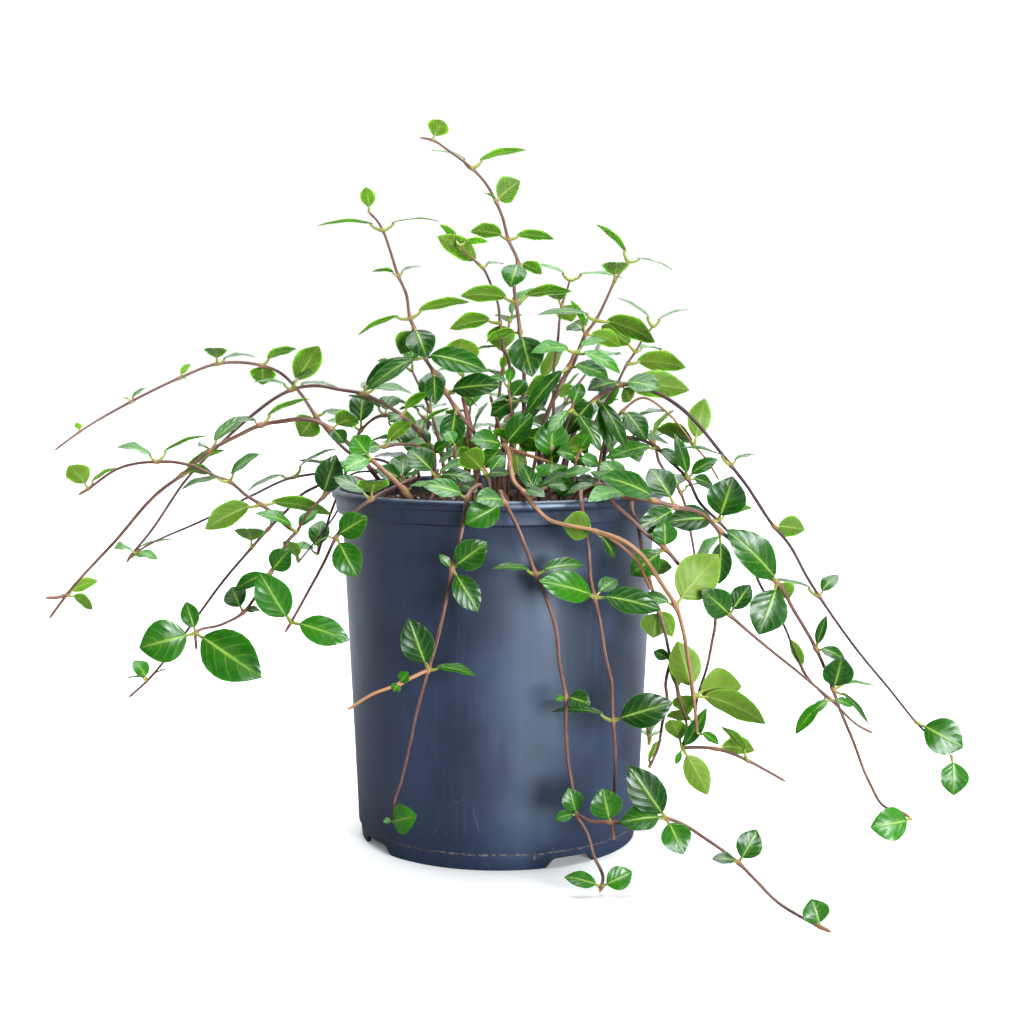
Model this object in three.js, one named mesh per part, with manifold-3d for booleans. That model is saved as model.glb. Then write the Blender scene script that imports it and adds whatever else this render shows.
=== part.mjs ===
// Asiatic jasmine in a nursery pot. Millimetres, +Z up, the viewer's side is -Y.
// The origin lies on the pot's axis, in the plane of the surface that the pot stands on.
import * as THREE from "three";
import { mergeVertices } from "three/addons/utils/BufferGeometryUtils.js";
import Module from "manifold-3d";

const wasm = await Module();
wasm.setup();
const { Manifold, Mesh: SolidMesh } = wasm;

// Driving sizes of the pot, those of a one-gallon nursery container.
const POT_HEIGHT = 178;
const RIM_RADIUS = 84;
const RIM_LIP_DEPTH = 4;
const RIM_BAND_BOTTOM = POT_HEIGHT - 11.5;
const BODY_TOP_RADIUS = 79;
const BODY_FOOT_RADIUS = 71.7;
const SEAM_HEIGHT = 8;
const FOOT_RADIUS = 70;
const WALL = 1.6;
const FLOOR_TOP = 9;
const POT_SIDES = 36;
const NOTCH_BEARINGS = [30, 120, 210, 300];
const NOTCH_HEIGHT = 5;
const NOTCH_FLOOR_WIDTH = 30;
const NOTCH_TOP_WIDTH = 20;
const DRAIN_RADIUS = 5;
const DRAIN_CIRCLE = 50;

// Driving sizes of the soil and of the plain holes that the stems stand in.
const SOIL_TOP = 169.5;
const SOIL_BUMP = 1.6;
const SOIL_SIDES = 18;
const FIT_GAP = 0.3;
const STEM_FOOT = 160;
const STEM_SOIL_TOP = 173;

// Driving sizes of stems and leaves.
const STEM_SIDES = 4;
const STEM_TOLERANCE = 0.8;
const LEAF_THICKNESS = 1.2;
const LEAF_FOLD = 0.16;
const LEAF_ARCH = 0.06;
const PETIOLE_SHARE = 0.22;
const PETIOLE_MOST = 6;
const PETIOLE_HALF_WIDTH = 0.8;
const ROOT_DEPTH = 0.8;
const BLADE_FULLNESS = 1.04;
const LEAST_LEAF = 9;
const SMALL_LEAF = 20;
const LARGE_LEAF = 34;
const SHORTEST_EDGE = 0.02;
const SEED = 4421;

const BARK = ["#6d4a3c", "#5f4034", "#4a342c", "#a0683f", "#7d3b34"];
const LEAF_GREEN = "#3d7d1f";

// Runners and stems whose way shows from the front. A route is a list of points x, y, z. A point
// that is a leaf node goes on with its leaves: the tip's offset x, y, z from the node, the angle
// in degrees by which the upper side is turned from facing up to facing the viewer, and the width.
// The second and later routes of a runner are branches that start on its first one.
const RUNNERS = [
  {"name": "runner_front_middle", "thick": [1.3, 0.9], "bark": 0, "routes": [
    [[5, -62, 160], [5, -62, 173], [1, -76, 182],
     [3, -89, 178, [-18, -8, -9, 75, 14], [-13, -8, 2, 50, 12]], [8, -93, 169], [13, -94, 157],
     [17, -95, 146, [-20, -4, 3, 22, 7], [22, 3, 4, 45, 9]], [21, -95, 137], [26, -95, 122],
     [28, -94, 105], [31, -94, 89, [11, -5, -2, 60, 10], [-5, -2, -1, 40, 4]], [31, -94, 75],
     [32, -94, 60], [34, -95, 48], [36, -96, 35, [-4, -2, 13, 70, 10], [-10, -2, -2, 45, 6]],
     [41, -97, 26], [44, -98, 16], [48, -101, 7],
     [47, -106, 4, [-17, -1, 5, 50, 8], [14, 1, 7, 70, 11]], [46, -112, 4]],
    [[36, -96, 35], [41, -99, 33], [51, -102, 33, [-4, -4, 17, 80, 15]], [58, -103, 33],
     [76, -106, 36, [-18, -6, 26, 80, 16], [-21, -9, -1, 50, 13], [7, -4, -14, 60, 14]],
     [85, -108, 33], [92, -111, 29], [101, -117, 24],
     [107, -121, 20, [-12, -1, 2, 32, 7], [8, 1, 15, 80, 12]], [113, -128, 15], [122, -140, 8],
     [130, -149, 5], [137, -156, 3, [-4, 1, 12, 80, 12], [2, -4, -5, 40, 6]], [141, -159, 2]],
  ]},
  {"name": "runner_front_left", "thick": [1.4, 0.8], "bark": 0, "routes": [
    [[-8, -60, 160], [-8, -60, 173], [-8, -70, 184], [-14, -88, 180, [-20, -5, 6, 45, 11]],
     [-16, -90, 168], [-17, -91, 163],
     [-21, -91, 148, [16, -6, 13, 80, 14], [12, -6, -19, 75, 12], [-6, -2, 7, 60, 4]],
     [-23, -91, 137], [-28, -90, 115], [-32, -89, 101, [-9, -6, 25, 85, 15], [22, -4, -2, 25, 7]],
     [-37, -88, 83], [-41, -87, 65], [-45, -85, 48], [-49, -84, 34],
     [-49, -84, 28, [12, -14, 7, 72, 14], [-5, 0, 0, 30, 4]]],
    [[-32, -89, 101], [-39, -91, 98], [-45, -92, 95, [4, -2, 6, 60, 6], [-3, -2, -3, 60, 5]],
     [-58, -92, 90], [-69, -92, 83]],
  ]},
  {"name": "runner_front_right", "thick": [1.3, 0.9], "bark": 0, "routes": [
    [[34, -62, 160], [34, -62, 173], [38, -72, 182], [38, -86, 177], [39, -88, 171], [41, -89, 159],
     [43, -90, 139], [44, -91, 135, [-26, -7, 10, 68, 14], [30, -4, -5, 60, 13], [11, 5, 7, 50, 8]],
     [47, -91, 121], [49, -90, 108], [52, -89, 96],
     [53, -88, 77, [27, -6, 10, 75, 16], [-29, -4, 4, 18, 7]], [54, -88, 66], [54, -87, 45],
     [53, -86, 26], [54, -86, 20]],
  ]},
  {"name": "runner_front_thick", "thick": [1.9, 0.9], "bark": 3, "routes": [
    [[0, 2, 160], [0, 2, 173], [1, -6, 194],
     [3, -16, 199, [14, -6, 17, 70, 13], [-17, -10, 4, 50, 13], [-11, -7, -10, 60, 11]],
     [5, -26, 197], [6, -46, 191], [8, -68, 185], [12, -81, 182, [9, -12, -1, 40, 7]],
     [17, -92, 176], [23, -97, 171], [30, -99, 169],
     [44, -99, 166, [-15, 5, 3, -78, 14], [9, 4, -13, 60, 6]], [52, -99, 162], [58, -97, 157],
     [63, -94, 152], [67, -91, 144], [70, -89, 138]],
    [[3, -16, 199], [16, -22, 195], [26, -27, 192, [0, -5, 22, 85, 17], [0, -15, -7, 30, 16]]],
    [[44, -99, 166], [56, -101, 162], [64, -100, 156], [70, -97, 148], [76, -94, 139],
     [81, -92, 131, [20, 6, 23, -85, 21], [-16, 4, 3, 50, 7]], [84, -91, 122], [87, -90, 107],
     [90, -88, 89, [-7, 7, 24, -70, 15], [23, 5, 3, -70, 19], [33, 10, -12, -60, 15]],
     [92, -87, 71, [10, -2, -5, 30, 6]]],
  ]},
  {"name": "runner_right_front", "thick": [1.4, 0.7], "bark": 0, "routes": [
    [[46, -56, 160], [46, -56, 173], [47, -66, 182], [50, -74, 180], [53, -78, 177], [62, -81, 169],
     [67, -81, 164], [77, -81, 156, [-16, -6, -12, 75, 13], [-1, -2, 13, 80, 12]], [84, -80, 148],
     [94, -77, 137], [108, -74, 124, [-15, -6, 14, 80, 14], [10, 3, 14, 60, 10]], [123, -72, 111],
     [144, -70, 94], [157, -70, 83, [10, -2, -3, 40, 5], [-10, -4, -6, 40, 5]], [171, -70, 70],
     [177, -70, 67]],
    [[94, -77, 137], [101, -76, 124], [100, -73, 110], [98, -71, 98], [94, -70, 84],
     [93, -70, 72, [-13, 3, 1, -50, 9]]],
  ]},
  {"name": "runner_right_sweep", "thick": [1.6, 0.8], "bark": 0, "routes": [
    [[37, -50, 160], [37, -50, 173], [43, -52, 181], [48, -54, 183, [-16, -8, -4, 30, 6]],
     [54, -59, 182], [59, -67, 179, [-18, -14, 0, 40, 11], [-16, -4, 11, 35, 13]],
     [73, -69, 177, [-27, -8, 13, 55, 14]],
     [83, -67, 174, [-19, -11, -10, 50, 12], [-11, 4, 17, 60, 14]], [95, -63, 171],
     [105, -59, 162, [1, 8, -27, 60, 11]], [118, -54, 151], [127, -51, 140],
     [134, -50, 136, [-26, -7, 27, 65, 18], [-10, -9, -24, 85, 19], [7, 5, -9, -50, 11]],
     [142, -50, 123], [153, -52, 104, [4, -4, 17, 40, 5], [13, -6, -4, 50, 7]],
     [161, -54, 85, [2, 5, 18, 70, 15], [21, 0, 1, 10, 5], [17, -3, -17, 30, 4]], [164, -56, 76],
     [170, -60, 61], [177, -66, 42], [184, -70, 31], [190, -73, 30],
     [195, -75, 27, [-21, -8, -2, 80, 16]]],
  ]},
  {"name": "runner_right_hang", "thick": [1.3, 0.8], "bark": 0, "routes": [
    [[57, -36, 160], [57, -36, 173], [58, -46, 182], [61, -54, 182, [-12, 6, 12, 50, 12]],
     [63, -60, 178], [63, -65, 172], [65, -68, 167], [67, -70, 156],
     [70, -72, 143, [12, 7, 2, -60, 10]],
     [75, -72, 126, [-2, 4, -14, -80, 14], [-12, 2, -3, -40, 7], [8, 7, -15, -70, 9]],
     [78, -72, 116], [81, -72, 102, [-8, 2, 4, 60, 6]],
     [85, -71, 85, [6, 5, -11, -50, 11], [-1, 6, 23, -60, 7]], [89, -71, 69],
     [87, -71, 60, [-7, 4, 16, -60, 10], [11, -5, 25, 60, 8], [12, -3, -22, -78, 12],
       [-3, 0, -8, 60, 3]]],
    [[87, -71, 60], [95, -74, 61], [102, -77, 61, [19, 4, -2, -60, 12]], [110, -79, 59],
     [117, -80, 56, [-14, -2, 18, -20, 7]], [125, -82, 52], [134, -83, 47]],
    [[81, -72, 102], [79, -70, 91], [80, -68, 81], [78, -66, 71], [76, -65, 58],
     [72, -65, 49, [7, 2, 12, -40, 7]]],
  ]},
  {"name": "runner_left_fork", "thick": [1.5, 0.8], "bark": 0, "routes": [
    [[-60, -24, 160], [-60, -24, 173], [-72, -30, 185], [-76, -33, 183],
     [-85, -37, 176, [7, -7, 21, 85, 14]], [-91, -39, 170], [-95, -39, 164],
     [-98, -38, 159, [-19, -7, 10, 28, 10], [10, 5, 10, 28, 8]]],
    [[-98, -38, 159], [-102, -37, 161], [-110, -35, 168],
     [-116, -33, 172, [-26, -10, -11, -60, 14], [35, -13, -5, -50, 10]], [-123, -31, 176],
     [-132, -29, 183, [16, -4, 14, 32, 9], [-22, -5, -3, 14, 8]], [-138, -27, 185], [-150, -24, 190],
     [-160, -22, 192], [-169, -20, 192, [26, 1, 13, -14, 7], [-18, -7, 8, 16, 13]], [-180, -18, 191],
     [-190, -16, 188], [-198, -14, 183],
     [-205, -13, 178, [-8, -6, 12, -72, 13], [13, 6, 10, -25, 6]], [-210, -13, 175]],
    [[-98, -38, 159], [-102, -40, 155], [-106, -42, 147],
     [-110, -44, 140, [10, -4, 12, 80, 12], [-17, -4, -8, 60, 8]], [-117, -46, 129],
     [-123, -48, 121, [-7, 4, 11, 75, 12], [8, 1, 1, 25, 6]], [-134, -48, 115],
     [-146, -48, 111, [-26, -8, -6, 80, 21], [33, -10, -20, 75, 24], [-5, 2, 15, 70, 9]],
     [-146, -48, 103]],
  ]},
  {"name": "runner_left_drop", "thick": [1.4, 0.8], "bark": 1, "routes": [
    [[-56, -34, 160], [-56, -34, 173], [-40, -44, 186], [-47, -51, 183], [-53, -62, 181],
     [-59, -73, 178, [3, -13, 10, 0, 15], [-18, 6, 10, 40, 9]], [-66, -77, 173],
     [-75, -77, 161, [15, -5, 10, 75, 13], [10, -6, -18, 80, 14], [-12, 6, -6, 12, 5]],
     [-81, -74, 149], [-90, -68, 133], [-98, -64, 119, [-14, -8, 25, 85, 17], [28, -4, -8, 70, 14]],
     [-101, -62, 114]],
  ]},
  {"name": "runner_left_pink", "thick": [1.6, 0.8], "bark": 0, "routes": [
    [[-55, -14, 160], [-55, -14, 173], [-63, -14, 187], [-71, -15, 197],
     [-83, -16, 208, [14, -8, 6, -50, 13], [7, -6, -7, 30, 9]], [-88, -16, 211], [-96, -16, 213],
     [-106, -15, 212], [-118, -14, 210, [25, -2, 13, -18, 7], [-14, 4, 1, 15, 7]], [-129, -14, 205],
     [-144, -13, 197, [17, 1, 17, 8, 9], [-5, -9, 3, 14, 12]],
     [-158, -13, 185, [20, -5, 12, -35, 8], [17, 7, 2, -45, 9]], [-169, -13, 177], [-192, -12, 152],
     [-218, -10, 124, [14, 4, 6, -60, 8], [14, -3, -7, -60, 8]], [-227, -10, 112]],
    [[-218, -10, 124], [-222, -12, 123], [-228, -13, 123]],
  ]},
  {"name": "runner_right_long", "thick": [1.7, 0.8], "bark": 2, "routes": [
    [[33, -10, 160], [33, -10, 173], [34, -10, 195],
     [37, -10, 202, [-12, -4, 12, 38, 10], [8, -6, -7, -50, 8]], [39, -12, 214],
     [49, -13, 223, [7, -6, -26, 45, 9], [14, -10, -25, 50, 8], [9, 12, 9, 20, 16],
       [-16, -14, -18, 70, 13]],
     [61, -15, 230, [-17, -6, -3, 30, 12], [19, -9, -2, 42, 14], [35, 8, -3, -70, 15],
       [4, -6, -8, -60, 9]], [76, -17, 227], [91, -20, 218], [99, -22, 210], [107, -25, 200],
     [114, -28, 191, [-26, -4, 9, 12, 7], [13, 3, 5, 10, 6]], [121, -30, 182],
     [135, -34, 161, [16, 6, -2, -75, 12]], [141, -36, 154], [151, -40, 136],
     [156, -42, 128, [-26, -4, 7, 10, 6], [10, 4, 10, 30, 8]], [175, -48, 101], [189, -52, 84],
     [201, -56, 69, [21, -7, -11, 80, 18]], [211, -55, 59], [219, -54, 52, [0, -6, -18, 80, 14]]],
  ]},
  {"name": "runner_right_mid", "thick": [1.6, 0.8], "bark": 2, "routes": [
    [[56, 4, 160], [56, 4, 173], [58, 2, 202],
     [64, 0, 203, [22, -7, -3, 25, 6], [7, -9, -12, 40, 11]], [72, -2, 202],
     [80, -4, 198, [12, -8, -9, 50, 7], [-27, -6, -5, 30, 9]], [86, -6, 192],
     [95, -9, 183, [-8, -5, 23, 65, 7], [15, 2, 10, 50, 8], [14, 4, -5, 50, 8]], [101, -12, 171],
     [110, -15, 162, [-27, -8, 0, 55, 15], [6, -7, 23, 80, 20], [18, 6, 6, -40, 8]], [118, -17, 153],
     [127, -19, 139], [130, -20, 132], [136, -22, 121], [142, -25, 111], [147, -28, 98],
     [151, -31, 89, [-6, 3, 15, -50, 6]], [162, -34, 76, [-16, -5, -17, 40, 7]]],
  ]},
  {"name": "stem_top_left", "thick": [1.5, 0.7], "bark": 0, "routes": [
    [[-12, -12, 160], [-12, -12, 173], [-11, -13, 205], [-15, -13, 210],
     [-21, -13, 218, [-3, -9, -19, 80, 13]],
     [-26, -12, 226, [28, -9, 4, 65, 13], [16, 5, -7, 10, 7]], [-32, -11, 236, [1, -9, -16, 80, 10]],
     [-37, -9, 244, [-28, -8, -17, 45, 10], [32, -14, -7, 62, 14]],
     [-42, -7, 258, [7, -13, -15, 62, 15], [-7, 5, -13, -70, 12]],
     [-44, -6, 263, [-26, -4, -9, -22, 7], [30, -2, 8, -32, 9]], [-46, -4, 275],
     [-50, -2, 284, [-13, -4, 2, -15, 7], [11, 3, 5, 8, 6]], [-55, 2, 299],
     [-58, 4, 307, [-33, -2, 2, -14, 6], [29, 3, 5, 5, 6]], [-61, 5, 312],
     [-65, 6, 316, [-1, -6, 12, -45, 8]]],
  ]},
  {"name": "stem_top_tall", "thick": [1.6, 0.6], "bark": 0, "routes": [
    [[13, 0, 160], [13, 0, 173], [13, 0, 223, [-17, -8, -9, 55, 11]], [13, 0, 237],
     [11, -1, 256, [6, -13, -22, 85, 18], [-17, 8, -5, -30, 8]],
     [9, -2, 271, [-28, -4, 3, -45, 12], [28, -2, 5, -32, 10]], [8, -2, 278],
     [10, -3, 290, [-4, -12, -12, 60, 13], [12, 6, -5, -35, 9]],
     [5, -4, 302, [-19, -4, 4, -40, 11], [23, -2, 0, -38, 8]], [2, -6, 313],
     [-1, -8, 320, [12, 8, 11, -60, 14], [-6, -6, 4, 5, 4]], [-7, -10, 330],
     [-13, -12, 336, [27, 1, 9, -25, 7], [-21, 4, 10, 8, 5]], [-24, -15, 344],
     [-32, -17, 349, [5, -5, 9, -60, 11]], [-38, -19, 350]],
  ]},
  {"name": "stem_right_lean", "thick": [1.7, 1.1], "bark": 0, "routes": [
    [[21, -12, 160], [21, -12, 173], [23, -14, 212], [30, -16, 228],
     [35, -17, 239, [19, -9, -6, 32, 13], [-22, -8, -24, 45, 9]],
     [38, -18, 246, [-22, -6, 0, 30, 12], [22, -3, -10, 38, 9], [16, 4, 6, 25, 8]]],
  ]},
  {"name": "runner_left_high", "thick": [1.3, 0.6], "bark": 0, "routes": [
    [[-50, 22, 160], [-50, 22, 173], [-68, 22, 187], [-80, 22, 196],
     [-95, 24, 213, [22, -4, -1, 20, 8], [-9, 6, -11, -80, 15]], [-103, 24, 225], [-114, 22, 236],
     [-122, 20, 239, [19, -6, 9, -25, 9], [-1, 8, -10, -70, 14]],
     [-144, 14, 240, [1, -16, 8, 0, 12], [19, 3, 4, 10, 8]],
     [-162, 8, 233, [5, 2, 7, -30, 5], [4, -2, -1, -30, 3]],
     [-186, 2, 221, [7, 2, 7, 20, 4], [-4, -2, 2, -10, 3]], [-211, -4, 206, [-1, -2, 5, -40, 4]],
     [-223, -6, 197]],
  ]},
  {"name": "runner_left_arch", "thick": [1.4, 0.8], "bark": 1, "routes": [
    [[-34, 2, 160], [-34, 2, 173], [-33, 2, 195, [-10, -6, 3, -35, 9], [7, -4, 5, 60, 7]],
     [-40, 2, 206, [16, -2, 12, -15, 6]], [-49, 2, 214, [14, -4, 12, -35, 7], [-6, -7, -3, 50, 9]],
     [-62, 3, 222], [-69, 4, 225, [20, -6, 19, 45, 8], [8, 4, 8, -30, 11], [25, 8, 0, 20, 12]],
     [-80, 5, 227], [-93, 6, 229],
     [-105, 6, 227, [15, -8, 22, -60, 14], [12, -14, 9, 35, 10], [-19, -3, 4, 12, 7],
      [24, 8, 0, 15, 7]],
     [-113, 6, 223], [-124, 6, 215], [-140, 6, 201], [-157, 5, 184], [-179, 3, 153],
     [-188, 2, 142, [22, 3, 8, 8, 5], [12, -4, 0, 25, 6]], [-190, 2, 139]],
  ]},
  {"name": "runner_left_low", "thick": [1.3, 0.8], "bark": 2, "routes": [
    [[-66, 2, 160], [-66, 2, 173], [-78, -3, 183], [-93, -8, 178], [-97, -10, 176], [-107, -13, 166],
     [-115, -15, 158, [6, 5, 8, 30, 7]], [-123, -17, 149, [0, -16, 11, 0, 16]], [-139, -21, 130],
     [-147, -23, 119], [-161, -23, 100],
     [-176, -20, 82, [-8, -8, 3, -20, 9], [9, 4, 5, -15, 7], [-7, -3, 10, 25, 9]], [-186, -18, 73]],
  ]},
  {"name": "runner_left_behind", "thick": [1.3, 0.8], "bark": 2, "routes": [
    [[-46, 36, 160], [-46, 36, 173], [-64, 30, 190], [-80, 24, 186], [-90, 18, 184], [-98, 13, 183],
     [-105, 10, 182, [23, 1, 15, 10, 7], [-24, -4, -7, 14, 7]], [-126, 2, 173], [-150, -4, 161],
     [-175, -12, 150], [-182, -15, 146, [-9, -6, 3, 15, 12], [12, -3, -3, 30, 6]]],
  ]},
  {"name": "runner_left_thin", "thick": [1, 0.7], "bark": 2, "routes": [
    [[-54, 48, 160], [-54, 48, 173], [-78, 44, 181], [-84, 45, 176], [-85, 42, 164], [-94, 34, 150],
     [-105, 26, 136, [-7, -5, 12, -20, 11], [3, 7, 10, -30, 11]]],
  ]},
  {"name": "shoot_left_low", "thick": [1.3, 1], "bark": 0, "routes": [
    [[-46, -4, 160], [-46, -4, 173], [-40, -8, 199], [-50, -10, 200],
     [-57, -12, 199, [14, -8, 13, -45, 9], [-11, -6, -2, 50, 8], [11, 2, 7, -40, 7]],
     [-60, -13, 199]],
  ]},
  {"name": "shoot_left_orange", "thick": [1.9, 1.3], "bark": 3, "routes": [
    [[-40, -62, 160], [-40, -62, 173], [-44, -62, 181, [17, -6, 3, 14, 9]], [-48, -61, 185],
     [-53, -56, 189],
     [-61, -46, 195, [-9, 4, 11, 70, 12], [-12, -8, -5, 50, 11], [-11, 2, 2, -60, 13]]],
  ]},
  {"name": "shoot_heart_left", "thick": [1.4, 0.8], "bark": 0, "routes": [
    [[-44, -26, 160], [-44, -26, 173], [-46, -27, 178],
     [-47, -27, 183, [0, 10, 12, 35, 14], [-13, -4, 6, 50, 10], [-10, 8, 10, 62, 9], [8, -8, 4, 30, 8]],
     [-48, -27, 186]],
  ]},
  {"name": "shoot_heart_mid", "thick": [1.4, 0.8], "bark": 0, "routes": [
    [[-33, -46, 160], [-33, -46, 173], [-31, -44, 179],
     [-30, -40, 186, [-14, 5, 13, 50, 14], [19, -6, -1, 45, 9], [17, 4, 8, 35, 8], [6, -8, -9, 40, 8]],
     [-29, -39, 190]],
  ]},
  {"name": "shoot_heart_pale", "thick": [1.3, 0.8], "bark": 0, "routes": [
    [[-7, -50, 160], [-7, -50, 173], [-4, -51, 181],
     [-5, -50, 187, [-11, -3, 13, -85, 13], [10, -4, 2, 55, 7], [8, 5, 10, 60, 7]], [-7, -50, 192]],
  ]},
  {"name": "shoot_heart_right", "thick": [1.3, 0.8], "bark": 0, "routes": [
    [[14, -46, 160], [14, -46, 173], [18, -46, 178, [16, -6, 11, 28, 8], [-7, 3, 15, 62, 8]],
     [22, -44, 181, [-9, -9, 4, 60, 11], [14, -2, 1, 48, 9]],
     [28, -42, 184, [17, -4, 6, 40, 7], [11, -8, -5, 50, 7]], [30, -41, 186]],
  ]},
  {"name": "shoot_heart_back", "thick": [1.5, 0.7], "bark": 0, "routes": [
    [[10, -13, 160], [10, -13, 173], [9, -12, 187],
     [8, -12, 201, [13, 3, -4, -55, 10], [-11, -2, 6, -40, 7], [2, -6, -15, -70, 10]], [7, -11, 213],
     [6, -10, 222, [8, 5, 10, 60, 9], [19, 8, -6, 40, 8], [-10, 4, -2, 20, 7]],
     [5, -9, 229, [-10, 6, 5, 20, 7], [2, 4, 10, 60, 5]]],
  ]},
  {"name": "shoot_heart_east", "thick": [1.7, 0.9], "bark": 2, "routes": [
    [[30, -26, 160], [30, -26, 173], [31, -26, 188],
     [33, -27, 197, [11, 8, 6, -65, 9], [-9, -6, -4, 45, 8], [9, -4, -6, 55, 7]], [33, -27, 208],
     [36, -28, 218, [14, -6, -20, 45, 8], [5, 7, 13, 50, 8], [-12, -6, -12, 30, 7]], [37, -28, 223]],
  ]},
  {"name": "shoot_heart_low", "thick": [1.2, 0.7], "bark": 0, "routes": [
    [[22, -34, 160], [22, -34, 173], [36, -34, 183, [-8, -8, -7, 45, 8], [12, -6, 0, 40, 8]],
     [37, -35, 189], [38, -36, 195, [11, -6, -4, 45, 9], [-10, -4, 3, 50, 9]],
     [40, -37, 199, [4, -4, 8, 60, 7]]],
  ]},
  {"name": "shoot_heart_west", "thick": [1.2, 0.7], "bark": 0, "routes": [
    [[-20, -34, 160], [-20, -34, 173], [-19, -36, 181, [9, -8, -2, 45, 8], [-9, -6, -3, 40, 8]],
     [-20, -37, 189], [-21, -38, 196, [-8, -6, -3, 40, 8], [9, -4, 2, -45, 8]],
     [-21, -38, 201, [-4, 4, 7, 50, 7]]],
  ]},
  {"name": "stem_right_up", "thick": [1.9, 0.6], "bark": 0, "routes": [
    [[27, 8, 160], [27, 8, 173], [25, 8, 214], [29, 7, 224, [11, 6, 3, -62, 8]],
     [33, 6, 232, [-19, -4, -8, -42, 13]], [38, 4, 240], [41, 2, 248],
     [44, 0, 255, [-8, -4, 17, -12, 5], [-6, 5, 6, 65, 13], [18, 6, -6, -50, 11]],
     [49, -2, 262, [-30, -2, 2, 10, 7], [29, -7, -11, -52, 14]], [54, -3, 272],
     [58, -4, 281, [0, -17, 9, 0, 14]], [65, -3, 291, [-16, 2, 19, -22, 6], [23, 1, -4, 8, 5]]],
  ]},
  {"name": "stem_top_second", "thick": [1.5, 0.6], "bark": 0, "routes": [
    [[5, 20, 160], [5, 20, 173], [7, 20, 222], [6, 19, 230], [5, 18, 243],
     [3, 18, 247, [-15, 1, 0, -12, 6], [8, 5, -4, 20, 6]],
     [1, 17, 261, [-26, -6, -3, -45, 12], [1, 9, -14, -80, 15]], [0, 16, 270], [-4, 15, 281],
     [-8, 14, 289, [-23, -6, 16, -60, 12], [11, 5, 2, 10, 7]], [-14, 13, 294],
     [-20, 12, 300, [-10, 2, 11, -50, 5], [15, 3, 2, -45, 5]]],
  ]},
  {"name": "stem_top_right", "thick": [1.4, 0.6], "bark": 0, "routes": [
    [[30, 30, 160], [30, 30, 173], [29, 32, 221], [29, 31, 236], [31, 30, 251],
     [33, 28, 270, [-8, -12, 7, -8, 14], [6, 10, -8, -50, 13]], [36, 27, 279],
     [37, 26, 283, [-20, 2, 8, 14, 7], [28, 0, 1, 12, 7]]],
  ]},
  {"name": "stem_right_back", "thick": [1.3, 0.6], "bark": 0, "routes": [
    [[44, 26, 160], [44, 26, 173], [53, 26, 215], [61, 25, 228],
     [67, 24, 240, [30, -4, -2, -52, 14]], [71, 23, 246, [-18, -8, 14, -60, 14], [15, 7, 1, 12, 9]],
     [77, 22, 256], [80, 22, 259, [-19, 2, 15, 14, 5], [19, 1, 9, 10, 5]]],
  ]},
  {"name": "shoot_middle_left", "thick": [1.3, 0.9], "bark": 0, "routes": [
    [[-14, 12, 160], [-14, 12, 173],
     [-17, 12, 195, [-5, 2, 8, -70, 9], [7, -4, 6, -60, 7], [-9, -8, -2, 50, 8]], [-15, 12, 211],
     [-18, 12, 224], [-18, 12, 234, [-1, -9, 19, -28, 18], [-13, -3, 3, 18, 7]]],
  ]},
  {"name": "runner_right_tan", "thick": [1, 0.6], "bark": 3, "routes": [
    [[52, 16, 160], [52, 16, 173], [56, 8, 205], [63, 4, 216, [11, -8, -14, 60, 12]], [73, 2, 223],
     [85, 0, 216], [93, -2, 207], [99, -4, 199, [5, 1, 24, -85, 12], [-17, 8, 7, -60, 13]],
     [105, -6, 192], [111, -8, 182]],
  ]},
  {"name": "stub_red", "thick": [1.3, 1], "bark": 4, "routes": [
    [[-16, -2, 160], [-16, -2, 173], [-14, 0, 203], [-16, 0, 214], [-18, 0, 224]],
  ]},
  {"name": "stub_pale", "thick": [1.2, 0.9], "bark": 3, "routes": [
    [[2, 6, 160], [2, 6, 173], [1, 8, 206, [-6, -6, -2, -25, 7]], [-2, 8, 216], [-4, 8, 224]],
  ]},
];

// Runners on the far side. Each one leaves the soil at a bearing from +X, arches over the rim at
// the height "crest" and comes down to the height "low" at the distance "reach" from the axis.
const FAR_RUNNERS = [
  {"name": "runner_far_right", "bearing": 38, "foot": 66, "crest": 206, "reach": 146, "low": 122},
  {"name": "runner_far_right_long", "bearing": 55, "foot": 62, "crest": 210, "reach": 150, "low": 16},
  {"name": "runner_far_right_low", "bearing": 72, "foot": 58, "crest": 200, "reach": 128, "low": 68},
  {"name": "runner_far_middle", "bearing": 87, "foot": 57, "crest": 214, "reach": 137, "low": 8},
  {"name": "runner_far_middle_low", "bearing": 101, "foot": 64, "crest": 198, "reach": 122, "low": 92},
  {"name": "runner_far_left_long", "bearing": 116, "foot": 58, "crest": 210, "reach": 150, "low": 26},
  {"name": "runner_far_left", "bearing": 137, "foot": 46, "crest": 212, "reach": 138, "low": 132},
];
const FAR_POINTS = 7;
const FAR_STEM = [1.4, 0.8];
const FAR_LEAF_LENGTH = [19, 28];
const FAR_LEAF_SHAPE = 0.58;

// Upright shoots in the middle and at the back: foot x, y, top x, y, z.
const SHOOTS = [
  {"name": "shoot_back_tall", "foot": [-2, 38], "top": [6, 58, 262]},
  {"name": "shoot_back_right", "foot": [22, 44], "top": [52, 62, 240]},
  {"name": "shoot_back_left", "foot": [-28, 28], "top": [-46, 50, 236]},
  {"name": "shoot_back_middle", "foot": [12, 30], "top": [24, 44, 226]},
  {"name": "shoot_back_low_left", "foot": [-42, 50], "top": [-60, 64, 208]},
  {"name": "shoot_back_low_middle", "foot": [-10, 48], "top": [-16, 70, 212]},
  {"name": "shoot_back_low_right", "foot": [40, 38], "top": [56, 62, 214]},
];
const SHOOT_POINTS = 3;
const SHOOT_STEM = [1.5, 0.7];

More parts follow.
